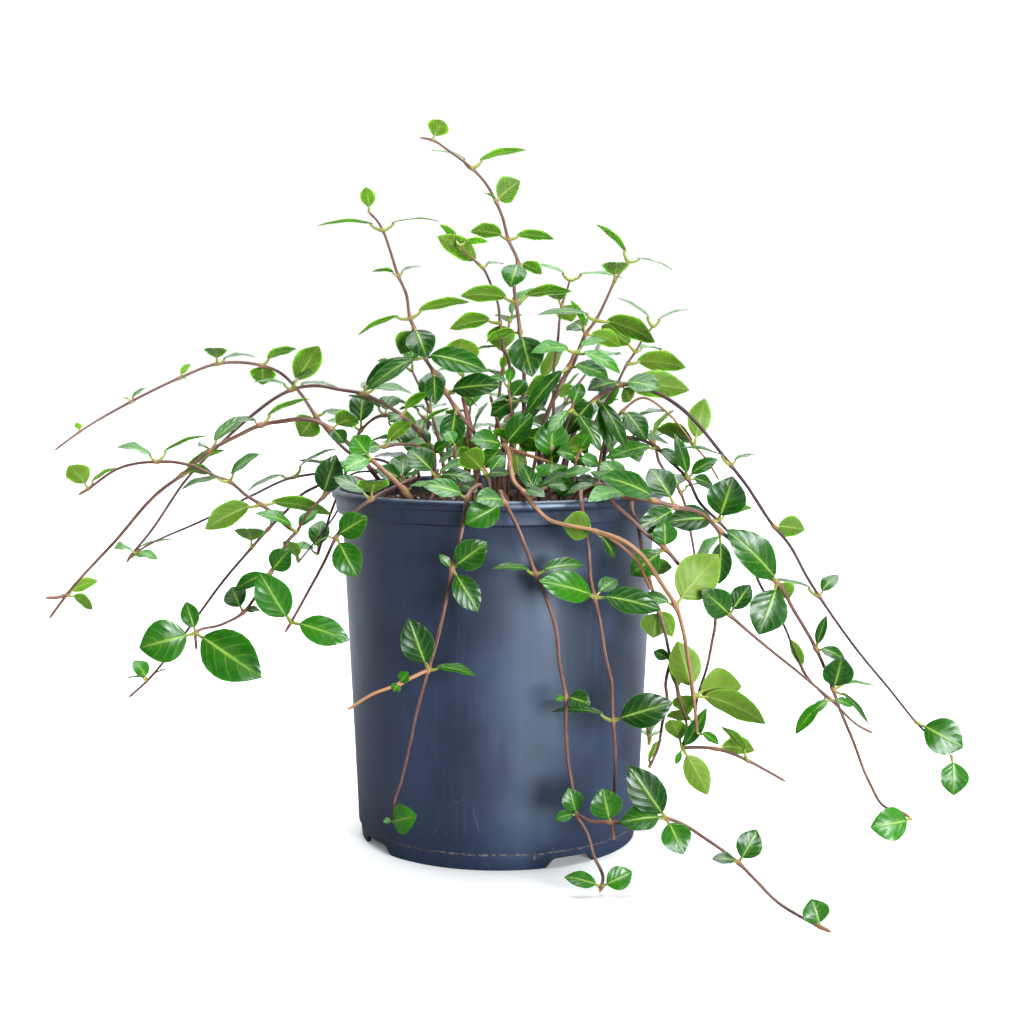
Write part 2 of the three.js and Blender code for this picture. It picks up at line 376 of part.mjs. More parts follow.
// Draws from 0 to 1 by the minimal standard generator, the same on every run.
function draws(seed) {
  let state = seed;
  return () => {
    state = (state * 16807) % 2147483647;
    return state / 2147483647;
  };
}

const plus = (a, b, k = 1) => [a[0] + b[0] * k, a[1] + b[1] * k, a[2] + b[2] * k];
const minus = (a, b) => [a[0] - b[0], a[1] - b[1], a[2] - b[2]];
const dot = (a, b) => a[0] * b[0] + a[1] * b[1] + a[2] * b[2];
const size = (a) => Math.sqrt(dot(a, a));
const unit = (a) => a.map((c) => c / size(a));
const cross = (a, b) => [
  a[1] * b[2] - a[2] * b[1],
  a[2] * b[0] - a[0] * b[2],
  a[0] * b[1] - a[1] * b[0],
];

// The directions of a route at its points, weighted by the lengths on both sides. A stem leaves the
// soil straight up.
function routeDirections(points) {
  const last = points.length - 1;
  const step = (i) => unit(minus(points[i + 1], points[i]));
  return points.map((point, i) => {
    if (i === 0 || point[2] === STEM_SOIL_TOP && i === 1) return step(0);
    if (i === last) return step(last - 1);
    const before = size(minus(point, points[i - 1]));
    const after = size(minus(points[i + 1], point));
    return step(i - 1).map((c, k) => (c * after + step(i)[k] * before) / (before + after));
  });
}

// A smooth curve through a route, with count(i) pieces between the points i and i + 1.
function smoothRoute(points, count) {
  const ways = routeDirections(points);
  const curve = [];
  for (let i = 0; i < points.length - 1; i++) {
    const span = size(minus(points[i + 1], points[i]));
    const pieces = count(i, span);
    for (let j = 0; j < pieces; j++) {
      const t = j / pieces;
      const fromStart = 2 * t ** 3 - 3 * t * t + 1;
      const startPull = (t ** 3 - 2 * t * t + t) * span;
      const endPull = (t ** 3 - t * t) * span;
      curve.push([0, 1, 2].map((k) =>
        fromStart * points[i][k] + (1 - fromStart) * points[i + 1][k]
        + startPull * ways[i][k] + endPull * ways[i + 1][k]));
    }
  }
  curve.push(points[points.length - 1]);
  return curve;
}

// The points of a curve that a tube needs to stay within STEM_TOLERANCE of it.
function neededPoints(curve, radii) {
  const kept = new Set([0, curve.length - 1]);
  const split = (first, last) => {
    const chord = minus(curve[last], curve[first]);
    let worst = 0;
    let furthest = first;
    for (let i = first + 1; i < last; i++) {
      const off = minus(curve[i], curve[first]);
      const share = dot(off, chord) / dot(chord, chord);
      const distance = size(plus(off, chord, -share));
      if (distance > worst) [worst, furthest] = [distance, i];
    }
    if (worst < STEM_TOLERANCE) return;
    kept.add(furthest);
    split(first, furthest);
    split(furthest, last);
  };
  const soilTop = Math.max(0, curve.findIndex((point) => point[2] === STEM_SOIL_TOP));
  kept.add(soilTop);
  split(soilTop, curve.length - 1);
  const order = [...kept].sort((a, b) => a - b);
  return [order.map((i) => curve[i]), order.map((i) => radii[i])];
}

// The radius of each point of a curve, tapering along its length.
function taper(curve, thick) {
  const along = [0];
  for (let i = 1; i < curve.length; i++) {
    along.push(along[i - 1] + size(minus(curve[i], curve[i - 1])));
  }
  const whole = along[along.length - 1];
  return along.map((s) => thick[0] + (thick[1] - thick[0]) * s / whole);
}

// A branch starts thinner than the foot of its runner.
function routeThickness(runner, index) {
  const [foot, tip] = runner.thick;
  return index === 0 ? [foot, tip] : [tip + (foot - tip) * 0.55, tip];
}

// One leafy route of a runner on the far side, by rule.
function farRunner(spec, draw) {
  const angle = spec.bearing * Math.PI / 180;
  const out = [Math.cos(angle), Math.sin(angle), 0];
  const side = [-out[1], out[0], 0];
  const at = (r, z, shift) => plus(plus([0, 0, z], out, r), side, shift);
  const route = [
    at(spec.foot, STEM_FOOT, 0),
    at(spec.foot, STEM_SOIL_TOP, 0),
    at(spec.foot + 8, spec.crest - 12, 0),
  ];
  for (let i = 0; i < FAR_POINTS; i++) {
    const s = i / (FAR_POINTS - 1);
    const r = RIM_RADIUS + (spec.reach - RIM_RADIUS) * s;
    const z = spec.crest + (spec.low - spec.crest) * s * s;
    const point = at(r, z, (draw() - 0.5) * 9);
    if (i % 2 === 0) point.push(...leafPair(out, side, draw, i));
    route.push(point);
  }
  return { name: spec.name, thick: FAR_STEM, bark: 0, routes: [route] };
}

// One leafy upright shoot, by rule.
function shoot(spec, draw) {
  const [x, y] = spec.foot;
  const angle = Math.atan2(spec.top[1] - y, spec.top[0] - x);
  const out = [Math.cos(angle), Math.sin(angle), 0];
  const side = [-out[1], out[0], 0];
  const route = [[x, y, STEM_FOOT], [x, y, STEM_SOIL_TOP]];
  for (let i = 1; i <= SHOOT_POINTS; i++) {
    const s = i / SHOOT_POINTS;
    const lean = s * s;
    const point = [
      x + (spec.top[0] - x) * lean,
      y + (spec.top[1] - y) * lean,
      STEM_SOIL_TOP + (spec.top[2] - STEM_SOIL_TOP) * s,
    ];
    point.push(...leafPair(out, side, draw, i));
    route.push(point);
  }
  return { name: spec.name, thick: SHOOT_STEM, bark: 0, routes: [route] };
}

// Two opposite leaves. Every second pair is turned a quarter round the stem.
function leafPair(out, side, draw, turn) {
  const [least, most] = FAR_LEAF_LENGTH;
  return [-1, 1].map((hand) => {
    const length = least + (most - least) * draw();
    const across = turn % 4 === 0 ? 0.82 : 0.35;
    const along = turn % 4 === 0 ? 0.45 : 0.8 * (hand > 0 ? 1 : 0.35);
    const rise = 0.25 + 0.3 * draw() - (turn % 4 === 0 ? 0 : 0.35 * hand);
    const way = unit(plus(plus([0, 0, rise], side, across * hand), out, along));
    const tip = way.map((c) => c * length);
    return [...tip, 30 * (draw() - 0.5), length * FAR_LEAF_SHAPE];
  });
}

function allRunners() {
  const draw = draws(SEED);
  return [
    ...RUNNERS,
    ...FAR_RUNNERS.map((spec) => farRunner(spec, draw)),
    ...SHOOTS.map((spec) => shoot(spec, draw)),
  ];
}

// The frame of one leaf: petiole root and end, tip, the blade's side and normal directions.
function leafFrame(node, leaf) {
  const tipOffset = leaf.slice(0, 3);
  const length = size(tipOffset);
  const way = unit(tipOffset);
  const turn = leaf[3] * Math.PI / 180;
  const wanted = [0, -Math.sin(turn), Math.cos(turn)];
  let upper = plus(wanted, way, -dot(wanted, way));
  if (size(upper) < 0.2) upper = plus([1, 0, 0], way, -way[0]);
  upper = unit(upper);
  const petiole = Math.min(PETIOLE_MOST, PETIOLE_SHARE * length);
  const start = plus(plus(node, way, 0.8 * petiole), upper, 0.5 * petiole);
  const tip = plus(node, tipOffset);
  const blade = unit(minus(tip, start));
  const side = unit(cross(upper, blade));
  const normal = cross(blade, side);
  const span = size(minus(tip, start));
  return { node, start, tip, blade, side, normal, length, span, width: leaf[4] };
}

// Half widths of the blade at shares of its length: an ellipse drawn out to a point. A smaller
// leaf is built from fewer of these stations.
const OUTLINE = [[0, 0.1], [0.2, 0.76], [0.45, 1], [0.74, 0.74], [1, 0]];
const LARGE_STATIONS = [0.2, 0.47, 0.76];
const MIDDLE_STATIONS = [0.27, 0.64];
const SMALL_STATIONS = [0.45];

function outlineWidth(t) {
  const i = Math.max(1, OUTLINE.findIndex((station) => station[0] >= t));
  const [t0, w0] = OUTLINE[i - 1];
  const [t1, w1] = OUTLINE[i];
  return w0 + (w1 - w0) * (t - t0) / (t1 - t0);
}

// A point of the blade: t along it, across from -1 to 1.
function bladePoint(frame, t, across) {
  const half = frame.width / 2 * outlineWidth(t);
  const arch = LEAF_ARCH * frame.span * Math.sin(Math.PI * t);
  const lift = arch + LEAF_FOLD * half * Math.abs(across);
  return plus(plus(plus(frame.start, frame.blade, t * frame.span), frame.side, across * half),
    frame.normal, lift);
}

// Points that later leaves keep clear of, found by the cell of space that they lie in.
const CELL = 4;
const HALF_BLADE_AND_GAP = 1.3;
const LEAF_CLEARANCE = 2.9;
const OWN_NODE_FREE = 9;
const SPACING = 2;

function cellKey(x, y, z) {
  return x + 1000 * (y + 1000 * z);
}

class Crowd {
  constructor() {
    this.cells = new Map();
  }

  add(point, reach, owner) {
    const base = point.map((c) => Math.floor(c / CELL));
    const entry = { point, reach, owner };
    for (let i = -1; i < 2; i++) {
      for (let j = -1; j < 2; j++) {
        for (let k = -1; k < 2; k++) {
          const key = cellKey(base[0] + i, base[1] + j, base[2] + k);
          if (!this.cells.has(key)) this.cells.set(key, []);
          this.cells.get(key).push(entry);
        }
      }
    }
  }

  meets(point, owner, node) {
    const base = point.map((c) => Math.floor(c / CELL));
    const near = this.cells.get(cellKey(base[0], base[1], base[2])) || [];
    const atHome = size(minus(point, node)) < OWN_NODE_FREE;
    return near.some((entry) =>
      !(atHome && entry.owner === owner) && size(minus(point, entry.point)) < entry.reach);
  }
}

// The outside of the pot's wall at a height.
function bodyRadius(z) {
  const share = Math.max(0, z - SEAM_HEIGHT) / (RIM_BAND_BOTTOM - SEAM_HEIGHT);
  return BODY_FOOT_RADIUS + (BODY_TOP_RADIUS - BODY_FOOT_RADIUS) * share;
}

// Whether a leaf point is in the pot, the soil or the surface that the pot stands on.
function meetsPot([x, y, z]) {
  const r = Math.sqrt(x * x + y * y);
  if (z < 1.5) return true;
  if (z > POT_HEIGHT + 2) return false;
  if (r < 75 && z > SOIL_TOP + SOIL_BUMP + 2.4) return false;
  return r < (z > RIM_BAND_BOTTOM - 3 ? RIM_RADIUS + 2 : bodyRadius(z) + 2.5);
}

// The points of a blade, about 2 mm apart, that stand for it where it might meet something.
function bladeSamples(frame) {
  const rows = Math.max(3, Math.ceil(frame.span / SPACING));
  const samples = [];
  for (let i = 1; i <= rows; i++) {
    const t = i / rows;
    const half = frame.width / 2 * outlineWidth(t);
    const columns = Math.max(1, Math.ceil(half / SPACING));
    for (let j = -columns; j <= columns; j++) samples.push(bladePoint(frame, t, j / columns));
  }
  return samples;
}

// The ways in which a leaf may be bent to find room, nearest to its given place first.
const SIZES_TRIED = [1, 0.88, 0.76, 0.64];
const TURNS_TRIED = [0, 20, -20, 40, -40];
const SHIFTS_TRIED = [0, 5, -5, 10, -10, 15, -15];

function bentWays(leaf) {
  const ways = [];
  for (const scale of SIZES_TRIED) {
    for (const turn of TURNS_TRIED) {
      for (const shift of SHIFTS_TRIED) {
        const tip = [leaf[0], leaf[1] + shift, leaf[2]].map((c) => c * scale);
        ways.push([...tip, leaf[3] + turn, leaf[4] * scale]);
      }
    }
  }
  return ways;
}

// Every leaf in its place: bent clear of what is already there, or left out where there is no room.
function placeLeaves(runners) {
  const crowd = new Crowd();
  for (const runner of runners) {
    runner.routes.forEach((route, index) => {
      const points = route.map((p) => p.slice(0, 3));
      const curve = smoothRoute(points, (i, span) => Math.ceil(span / SPACING));
      const radii = taper(curve, routeThickness(runner, index));
      curve.forEach((point, i) => {
        const reach = Math.sqrt((radii[i] + HALF_BLADE_AND_GAP) ** 2 + 3);
        crowd.add(point, reach, runner.name);
      });
    });
  }
  for (const runner of runners) {
    runner.leaves = [];
    for (const route of runner.routes) {
      for (const row of route) {
        const node = row.slice(0, 3);
        for (const leaf of row.slice(3).filter((given) => size(given.slice(0, 3)) > LEAST_LEAF)) {
          for (const way of bentWays(leaf)) {
            const frame = leafFrame(node, way);
            const samples = bladeSamples(frame);
            if (samples.some((p) => meetsPot(p) || crowd.meets(p, runner.name, node))) continue;
            samples.forEach((p) => crowd.add(p, LEAF_CLEARANCE, runner.name));
            runner.leaves.push(frame);
            break;
          }
        }
      }
    }
  }
}

// A solid from flat lists of vertices and faces.
function solidFrom(vertices, faces) {
  return new Manifold(new SolidMesh({
    numProp: 3,
    vertProperties: new Float32Array(vertices.flat()),
    triVerts: new Uint32Array(faces.flat()),
  }));
}

// A tapered tube along a curve, its rings carried without twist.
function tube(curve, radii) {
  let across = null;
  const vertices = [];
  const faces = [];
  curve.forEach((point, i) => {
    const before = curve[Math.max(0, i - 1)];
    const after = curve[Math.min(curve.length - 1, i + 1)];
    const way = unit(minus(after, before));
    if (!across) across = Math.abs(way[2]) > 0.9 ? [1, 0, 0] : [0, 0, 1];
    across = unit(plus(across, way, -dot(across, way)));
    const up = cross(way, across);
    for (let k = 0; k < STEM_SIDES; k++) {
      const angle = 2 * Math.PI * (k + 0.5) / STEM_SIDES;
      const aside = plus(point, across, radii[i] * Math.cos(angle));
      vertices.push(plus(aside, up, radii[i] * Math.sin(angle)));
      const a = i * STEM_SIDES + k;
      const b = i * STEM_SIDES + (k + 1) % STEM_SIDES;
      if (i < curve.length - 1) faces.push([a, b, a + STEM_SIDES], [b, b + STEM_SIDES, a + STEM_SIDES]);
    }
  });
  const end = (curve.length - 1) * STEM_SIDES;
  for (let k = 1; k < STEM_SIDES - 1; k++) {
    faces.push([0, k + 1, k], [end, end + k, end + k + 1]);
  }
  return solidFrom(vertices, faces);
}

// One blade with its petiole. The petiole is three-sided and starts from a point beyond the stem's
// axis, and the blade is four-sided, thickest along the midrib.
function leafSolid(frame, stemRadius) {
  const inward = unit(minus(frame.start, frame.node));
  const root = plus(frame.node, inward, -ROOT_DEPTH * stemRadius);
  const stations = frame.length >= LARGE_LEAF ? LARGE_STATIONS
    : frame.length >= SMALL_LEAF ? MIDDLE_STATIONS : SMALL_STATIONS;
  const vertices = [
    root,
    plus(frame.start, frame.side, -PETIOLE_HALF_WIDTH),
    plus(frame.start, frame.normal, -LEAF_THICKNESS),
    plus(frame.start, frame.side, PETIOLE_HALF_WIDTH),
    frame.tip,
  ];
  const faces = [[0, 1, 3], [0, 2, 1], [0, 3, 2]];
  let [top, left, below, right] = [null, 1, 2, 3];
  for (const t of stations) {
    const half = frame.width / 2 * outlineWidth(t) * BLADE_FULLNESS;
    const centre = bladePoint(frame, t, 0);
    const at = vertices.length;
    vertices.push(
      plus(centre, frame.normal, LEAF_THICKNESS / 2),
      plus(plus(centre, frame.side, -half), frame.normal, LEAF_FOLD * half),
      plus(centre, frame.normal, -LEAF_THICKNESS / 2),
      plus(plus(centre, frame.side, half), frame.normal, LEAF_FOLD * half),
    );
    // Both faces of the blade are split alike, from the midrib outwards.
    if (top === null) faces.push([left, at, right], [left, at + 1, at], [right, at, at + 3]);
    else faces.push([top, left, at], [left, at + 1, at], [top, at, right], [right, at, at + 3]);
    faces.push([below, at + 2, left], [left, at + 2, at + 1]);
    faces.push([below, right, at + 2], [right, at + 3, at + 2]);
    [top, left, below, right] = [at, at + 1, at + 2, at + 3];
  }
  faces.push([top, left, 4], [left, below, 4], [below, right, 4], [right, top, 4]);
  return solidFrom(vertices, faces);
}

// A joined solid without the sliver faces that a join leaves: edges shorter than SHORTEST_EDGE are
// drawn together, and faces that fall flat or lie back to back are dropped.
function withoutSlivers(solid) {
  const made = solid.getMesh();
  const spot = (i) => Array.from(made.vertProperties.subarray(i * made.numProp, i * made.numProp + 3));
  const stands = Array.from({ length: made.numVert }, (_, i) => i);
  const standIn = (i) => (stands[i] === i ? i : standIn(stands[i]));
  for (let k = 0; k < made.triVerts.length; k++) {
    const next = k % 3 === 2 ? k - 2 : k + 1;
    const [a, b] = [standIn(made.triVerts[k]), standIn(made.triVerts[next])];
    if (a === b || size(minus(spot(a), spot(b))) >= SHORTEST_EDGE) continue;
    stands[Math.max(a, b)] = Math.min(a, b);
  }
  const faces = new Map();
  for (let k = 0; k < made.triVerts.length; k += 3) {
    const face = [0, 1, 2].map((i) => standIn(made.triVerts[k + i]));
    if (new Set(face).size < 3) continue;
    const key = [...face].sort((a, b) => a - b).join();
    if (faces.has(key)) faces.delete(key);
    else faces.set(key, face);
  }
  const used = [...new Set([...faces.values()].flat())];
  const order = new Map(used.map((i, at) => [i, at]));
  return solidFrom(used.map(spot), [...faces.values()].map((face) => face.map((i) => order.get(i))));
}

function runnerSolid(runner) {
  let solid = null;
  const join = (piece) => {
    solid = solid ? solid.add(piece) : piece;
  };
  runner.routes.forEach((route, index) => {
    const curve = smoothRoute(route.map((p) => p.slice(0, 3)), () => 4);
    join(tube(...neededPoints(curve, taper(curve, routeThickness(runner, index)))));
  });
  for (const frame of runner.leaves) join(leafSolid(frame, runner.thick[1]));
  return withoutSlivers(solid);
}

// A three.js geometry with its repeated vertices merged.
function welded(geometry) {
  const bare = geometry.clone();
  bare.deleteAttribute("normal");
  bare.deleteAttribute("uv");
  return mergeVertices(bare, 1e-4);
}

function solidOf(geometry) {
  const merged = welded(geometry);
  return new Manifold(new SolidMesh({
    numProp: 3,
    vertProperties: merged.attributes.position.array,
    triVerts: new Uint32Array(merged.index.array),
  }));
}

// A profile of [radius, height] pairs turned round the Z axis.
function turned(profile, sides) {
  const points = profile.map(([r, z]) => new THREE.Vector2(r, z));
  return new THREE.LatheGeometry(points, sides).rotateX(Math.PI / 2);
}

function upright(radius, bottom, top, sides, x, y) {
  const height = top - bottom;
  return new THREE.CylinderGeometry(radius, radius, height, sides)
    .rotateX(Math.PI / 2)
    .translate(x, y, bottom + height / 2);
}

// A notch in the base ring: a trapezium, wide at the surface, run out through the ring.
function notch(bearing) {
  const shape = new THREE.Shape();
  shape.moveTo(-NOTCH_FLOOR_WIDTH / 2 - 1, -1);
  shape.lineTo(NOTCH_FLOOR_WIDTH / 2 + 1, -1);
  shape.lineTo(NOTCH_TOP_WIDTH / 2, NOTCH_HEIGHT);
  shape.lineTo(-NOTCH_TOP_WIDTH / 2, NOTCH_HEIGHT);
  shape.closePath();
  const depth = 20;
  return new THREE.ExtrudeGeometry(shape, { depth, bevelEnabled: false })
    .rotateX(Math.PI / 2)
    .translate(0, -(FOOT_RADIUS - depth / 2 - 4), 0)
    .rotateZ(bearing * Math.PI / 180);
}

// The inside of the pot's wall at a height above the floor.
function innerRadius(z) {
  return bodyRadius(z) - WALL;
}

function potSolid() {
  const lipFoot = POT_HEIGHT - RIM_LIP_DEPTH;
  const profile = [
    [0, FLOOR_TOP - 2],
    [FOOT_RADIUS - 2, FLOOR_TOP - 2],
    [FOOT_RADIUS - 2, 0],
    [FOOT_RADIUS, 0],
    [FOOT_RADIUS + 0.8, SEAM_HEIGHT - 0.4],
    [BODY_FOOT_RADIUS, SEAM_HEIGHT],
    [BODY_TOP_RADIUS, RIM_BAND_BOTTOM - 0.8],
    [RIM_RADIUS - 2.2, RIM_BAND_BOTTOM],
    [RIM_RADIUS - 1.8, lipFoot - 1],
    [RIM_RADIUS, lipFoot],
    [RIM_RADIUS, POT_HEIGHT - 1.4],
    [RIM_RADIUS - 1.2, POT_HEIGHT],
    [RIM_RADIUS - 3.4, POT_HEIGHT],
    [RIM_RADIUS - 3.8, RIM_BAND_BOTTOM + 1.2],
    [innerRadius(RIM_BAND_BOTTOM - 1.5), RIM_BAND_BOTTOM - 1.5],
    [innerRadius(FLOOR_TOP), FLOOR_TOP],
    [0, FLOOR_TOP],
  ];
  let pot = solidOf(turned(profile, POT_SIDES));
  for (const bearing of NOTCH_BEARINGS) pot = pot.subtract(solidOf(notch(bearing)));
  for (let i = 0; i < 4; i++) {
    const angle = Math.PI * (0.25 + i / 2);
    const x = DRAIN_CIRCLE * Math.cos(angle);
    const y = DRAIN_CIRCLE * Math.sin(angle);
    pot = pot.subtract(solidOf(upright(DRAIN_RADIUS, 0, 12, 8, x, y)));
  }
  return pot.subtract(solidOf(upright(DRAIN_RADIUS, 0, 12, 8, 0, 0)));
}

// Soil to just under the rim, its top in low uneven rings, with a plain hole for each stem.
function soilSolid(runners) {
  const draw = draws(SEED + 1);
  const foot = FLOOR_TOP + FIT_GAP;
  const shoulder = RIM_BAND_BOTTOM - 3;
  const geometry = welded(turned([
    [0, foot],
    [innerRadius(foot) - FIT_GAP - 0.1, foot],
    [innerRadius(shoulder) - FIT_GAP - 0.1, shoulder],
    [innerRadius(shoulder) - 1.2, SOIL_TOP - 1],
    [58, SOIL_TOP],
    [36, SOIL_TOP],
    [16, SOIL_TOP],
    [0, SOIL_TOP],
  ], SOIL_SIDES));
  const spots = geometry.getAttribute("position");
  for (let i = 0; i < spots.count; i++) {
    if (spots.getZ(i) > SOIL_TOP - 0.5) spots.setZ(i, spots.getZ(i) + SOIL_BUMP * draw());
  }
  let soil = solidOf(geometry);
  for (const runner of runners) {
    const [x, y] = runner.routes[0][0];
    const radius = runner.thick[0] + FIT_GAP / Math.cos(Math.PI / STEM_SIDES);
    const axis = [[x, y, STEM_FOOT - FIT_GAP], [x, y, POT_HEIGHT]];
    soil = soil.subtract(tube(axis, [radius, radius]));
  }
  return soil;
}

function meshOf(name, solid, colour, roughness) {
  const made = solid.getMesh();
  const geometry = new THREE.BufferGeometry();
  geometry.setAttribute("position", new THREE.BufferAttribute(made.vertProperties, 3));
  geometry.setIndex(new THREE.BufferAttribute(made.triVerts, 1));
  geometry.computeVertexNormals();
  const material = new THREE.MeshStandardMaterial({ color: colour, roughness, metalness: 0 });
  const mesh = new THREE.Mesh(geometry, material);
  mesh.name = name;
  return mesh;
}

const runners = allRunners();
placeLeaves(runners);
const plant = new THREE.Group();
plant.name = "potted_asiatic_jasmine";
plant.add(meshOf("pot", potSolid(), "#23262f", 0.5));
plant.add(meshOf("soil", soilSolid(runners), "#2b211b", 0.95));
for (const runner of runners) {
  const colour = runner.leaves.length ? LEAF_GREEN : BARK[runner.bark];
  plant.add(meshOf(runner.name, runnerSolid(runner), colour, 0.45));
}

export default plant;
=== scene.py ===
# %% [markdown]
# # A potted Asiatic jasmine
# A young trailing vine in a black nursery container: thin woody runners arch over the rim and hang
# down, with pairs of small leathery leaves at every joint of the stem. This lesson rebuilds the
# looks of it over a plain solid model that is already in place. Blender works in metres here, and
# the plant's own measures are written in millimetres, so one small number, MM, turns one into the
# other.

# %% The frame that everything is fitted to
import math
import random
import bmesh
import bpy
import numpy as np
from mathutils import Matrix, Vector
from mathutils.kdtree import KDTree


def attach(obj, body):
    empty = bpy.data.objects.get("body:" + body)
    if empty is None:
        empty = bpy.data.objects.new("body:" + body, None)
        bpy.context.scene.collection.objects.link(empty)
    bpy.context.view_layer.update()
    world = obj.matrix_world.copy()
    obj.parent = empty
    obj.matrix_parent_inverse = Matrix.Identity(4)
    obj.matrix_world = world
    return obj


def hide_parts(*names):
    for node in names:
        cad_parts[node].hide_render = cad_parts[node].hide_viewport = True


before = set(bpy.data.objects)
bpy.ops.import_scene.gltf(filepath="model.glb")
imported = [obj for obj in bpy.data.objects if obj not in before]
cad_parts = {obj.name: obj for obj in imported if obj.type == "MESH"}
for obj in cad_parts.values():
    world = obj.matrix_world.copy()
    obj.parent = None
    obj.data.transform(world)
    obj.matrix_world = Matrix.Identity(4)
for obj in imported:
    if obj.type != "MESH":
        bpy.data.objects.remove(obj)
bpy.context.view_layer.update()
MM = 0.001

# %% [markdown]
# ## The camera
# The photograph was taken from almost a metre away, with the lens a little above the rim and tipped
# down by between five and six degrees. A pinhole camera was fitted to the circles of the rim and
# the base ring. The picture is 1024 pixels wide, so a focal length in pixels becomes Blender's
# millimetres through the sensor's width. The lens axis stands slightly left of the picture's middle,
# which a small shift says.

# %% Camera
PICTURE = 1024
FOCAL_PIXELS = 1674.4
AXIS_PIXEL = 498.2
CAMERA_PLACE = (0, -847.7 * MM, 248.6 * MM)
CAMERA_DIP = math.radians(5.63)

camera_data = bpy.data.cameras.new("camera")
camera_data.sensor_width = 36
camera_data.lens = FOCAL_PIXELS * camera_data.sensor_width / PICTURE
camera_data.shift_x = 0.5 - AXIS_PIXEL / PICTURE
camera = bpy.data.objects.new("camera", camera_data)
camera.location = CAMERA_PLACE
camera.rotation_euler = (math.pi / 2 - CAMERA_DIP, 0, 0)
bpy.context.scene.collection.objects.link(camera)
bpy.context.scene.camera = camera
print("camera: lens", round(camera_data.lens, 2), "mm, shift", round(camera_data.shift_x, 4))

# %% [markdown]
# ## The light
# The real plant stands in a white surround with a large window to the right of the lens. Two round
# soft lamps stand for what is brightest in it: one overhead gives flat leaves their sheen, and one
# low on the right is mirrored as an upright band in the pot's wall. All the other light comes from
# the surround itself, further down. The floor is a plane that the pot stands on. A wide white dome
# closes the view behind the plant. Only the lens sees the dome, so it takes no light away.

# %% Lamps, floor and dome
LAMPS = {  # place, width, watts
    "overhead": ((0.10, 0.10, 1.45), 1.1, 26),
    "window": ((1.47, -2.60, 0.43), 1.6, 200),
}
LIT_PLACE = Vector((0, 0, 0.10))


def deselect_all():
    """Leaves nothing selected, so that the next operator acts only on what is picked after it."""
    bpy.ops.object.select_all(action="DESELECT")


bpy.context.scene.view_settings.view_transform = "Standard"
bpy.context.scene.view_settings.look = "None"

for name, (place, width, watts) in LAMPS.items():
    lamp_data = bpy.data.lights.new(name, "AREA")
    lamp_data.shape = "DISK"
    lamp_data.size = width
    lamp_data.energy = watts
    lamp_data.color = (0.94, 0.97, 1)
    lamp = bpy.data.objects.new(name, lamp_data)
    lamp.location = place
    lamp.rotation_euler = (LIT_PLACE - lamp.location).to_track_quat("-Z", "Y").to_euler()
    lamp.visible_camera = False
    bpy.context.scene.collection.objects.link(lamp)

deselect_all()
bpy.ops.mesh.primitive_plane_add(size=12, location=(0, 0, 0))
floor = bpy.context.object
floor.name = "floor"
bpy.ops.object.transform_apply(location=True, rotation=True, scale=True)
deselect_all()
bpy.ops.mesh.primitive_uv_sphere_add(segments=64, ring_count=32, radius=5, location=(0, 0, 0))
dome = bpy.context.object
dome.name = "white_dome"
bpy.ops.object.transform_apply(location=True, rotation=True, scale=True)
bpy.ops.object.shade_smooth()
for rays in ("diffuse", "glossy", "transmission", "shadow"):
    setattr(dome, "visible_" + rays, False)
print("lamps:", ", ".join(LAMPS), "floor:", floor.dimensions.x, "m wide")

# %% [markdown]
# ## Writing materials as sums
# A pattern such as a leaf vein is easier to read as a sum than as a web of nodes. The class below
# wraps one socket and lets Python's own signs stand for Math nodes. Every other node comes from one
# method, which takes the node's type, its settings and the values of its sockets.

# %% A socket that can be added and multiplied, and a paint that makes nodes
class Wire:
    """The output of a node, on which plain sums can be done."""

    def __init__(self, paint, socket):
        self.paint = paint
        self.socket = socket

    def sum(self, operation, *values):
        return self.paint.node("Math", {"operation": operation}, dict(enumerate(values)))

    def __add__(self, other):
        return self.sum("ADD", self, other)

    def __radd__(self, other):
        return self.sum("ADD", other, self)

    def __sub__(self, other):
        return self.sum("SUBTRACT", self, other)

    def __rsub__(self, other):
        return self.sum("SUBTRACT", other, self)

    def __mul__(self, other):
        return self.sum("MULTIPLY", self, other)

    def __rmul__(self, other):
        return self.sum("MULTIPLY", other, self)

    def __truediv__(self, other):
        return self.sum("DIVIDE", self, other)

    def __pow__(self, other):
        return self.sum("POWER", self, other)

    def __abs__(self):
        return self.sum("ABSOLUTE", self)

    def step(self, low, high, out_low=0.0, out_high=1.0):
        """Goes smoothly from out_low to out_high as the value goes from low to high."""
        return self.paint.node("MapRange", {"interpolation_type": "SMOOTHSTEP"}, {
            "Value": self, "From Min": low, "From Max": high, "To Min": out_low, "To Max": out_high})


class Nodes:
    """A node tree that nodes are added to by one call each."""

    def __init__(self, tree):
        self.tree = tree

    def node(self, kind, settings=None, sockets=None, output=0):
        made = self.tree.nodes.new("ShaderNode" + kind)
        for setting, value in (settings or {}).items():
            setattr(made, setting, value)
        for socket, value in (sockets or {}).items():
            if isinstance(value, Wire):
                self.tree.links.new(value.socket, made.inputs[socket])
            else:
                made.inputs[socket].default_value = value
        return Wire(self, made.outputs[output])

    def part(self, vector, axis):
        """The X, Y or Z part of a vector."""
        return self.node("SeparateXYZ", None, {0: vector}, axis)

    def mix(self, share, first, second):
        """From the first colour to the second as share goes from 0 to 1."""
        colours = [c if isinstance(c, Wire) else (*c, 1) for c in (first, second)]
        return self.node("Mix", {"data_type": "RGBA"}, {0: share, 6: colours[0], 7: colours[1]}, 2)


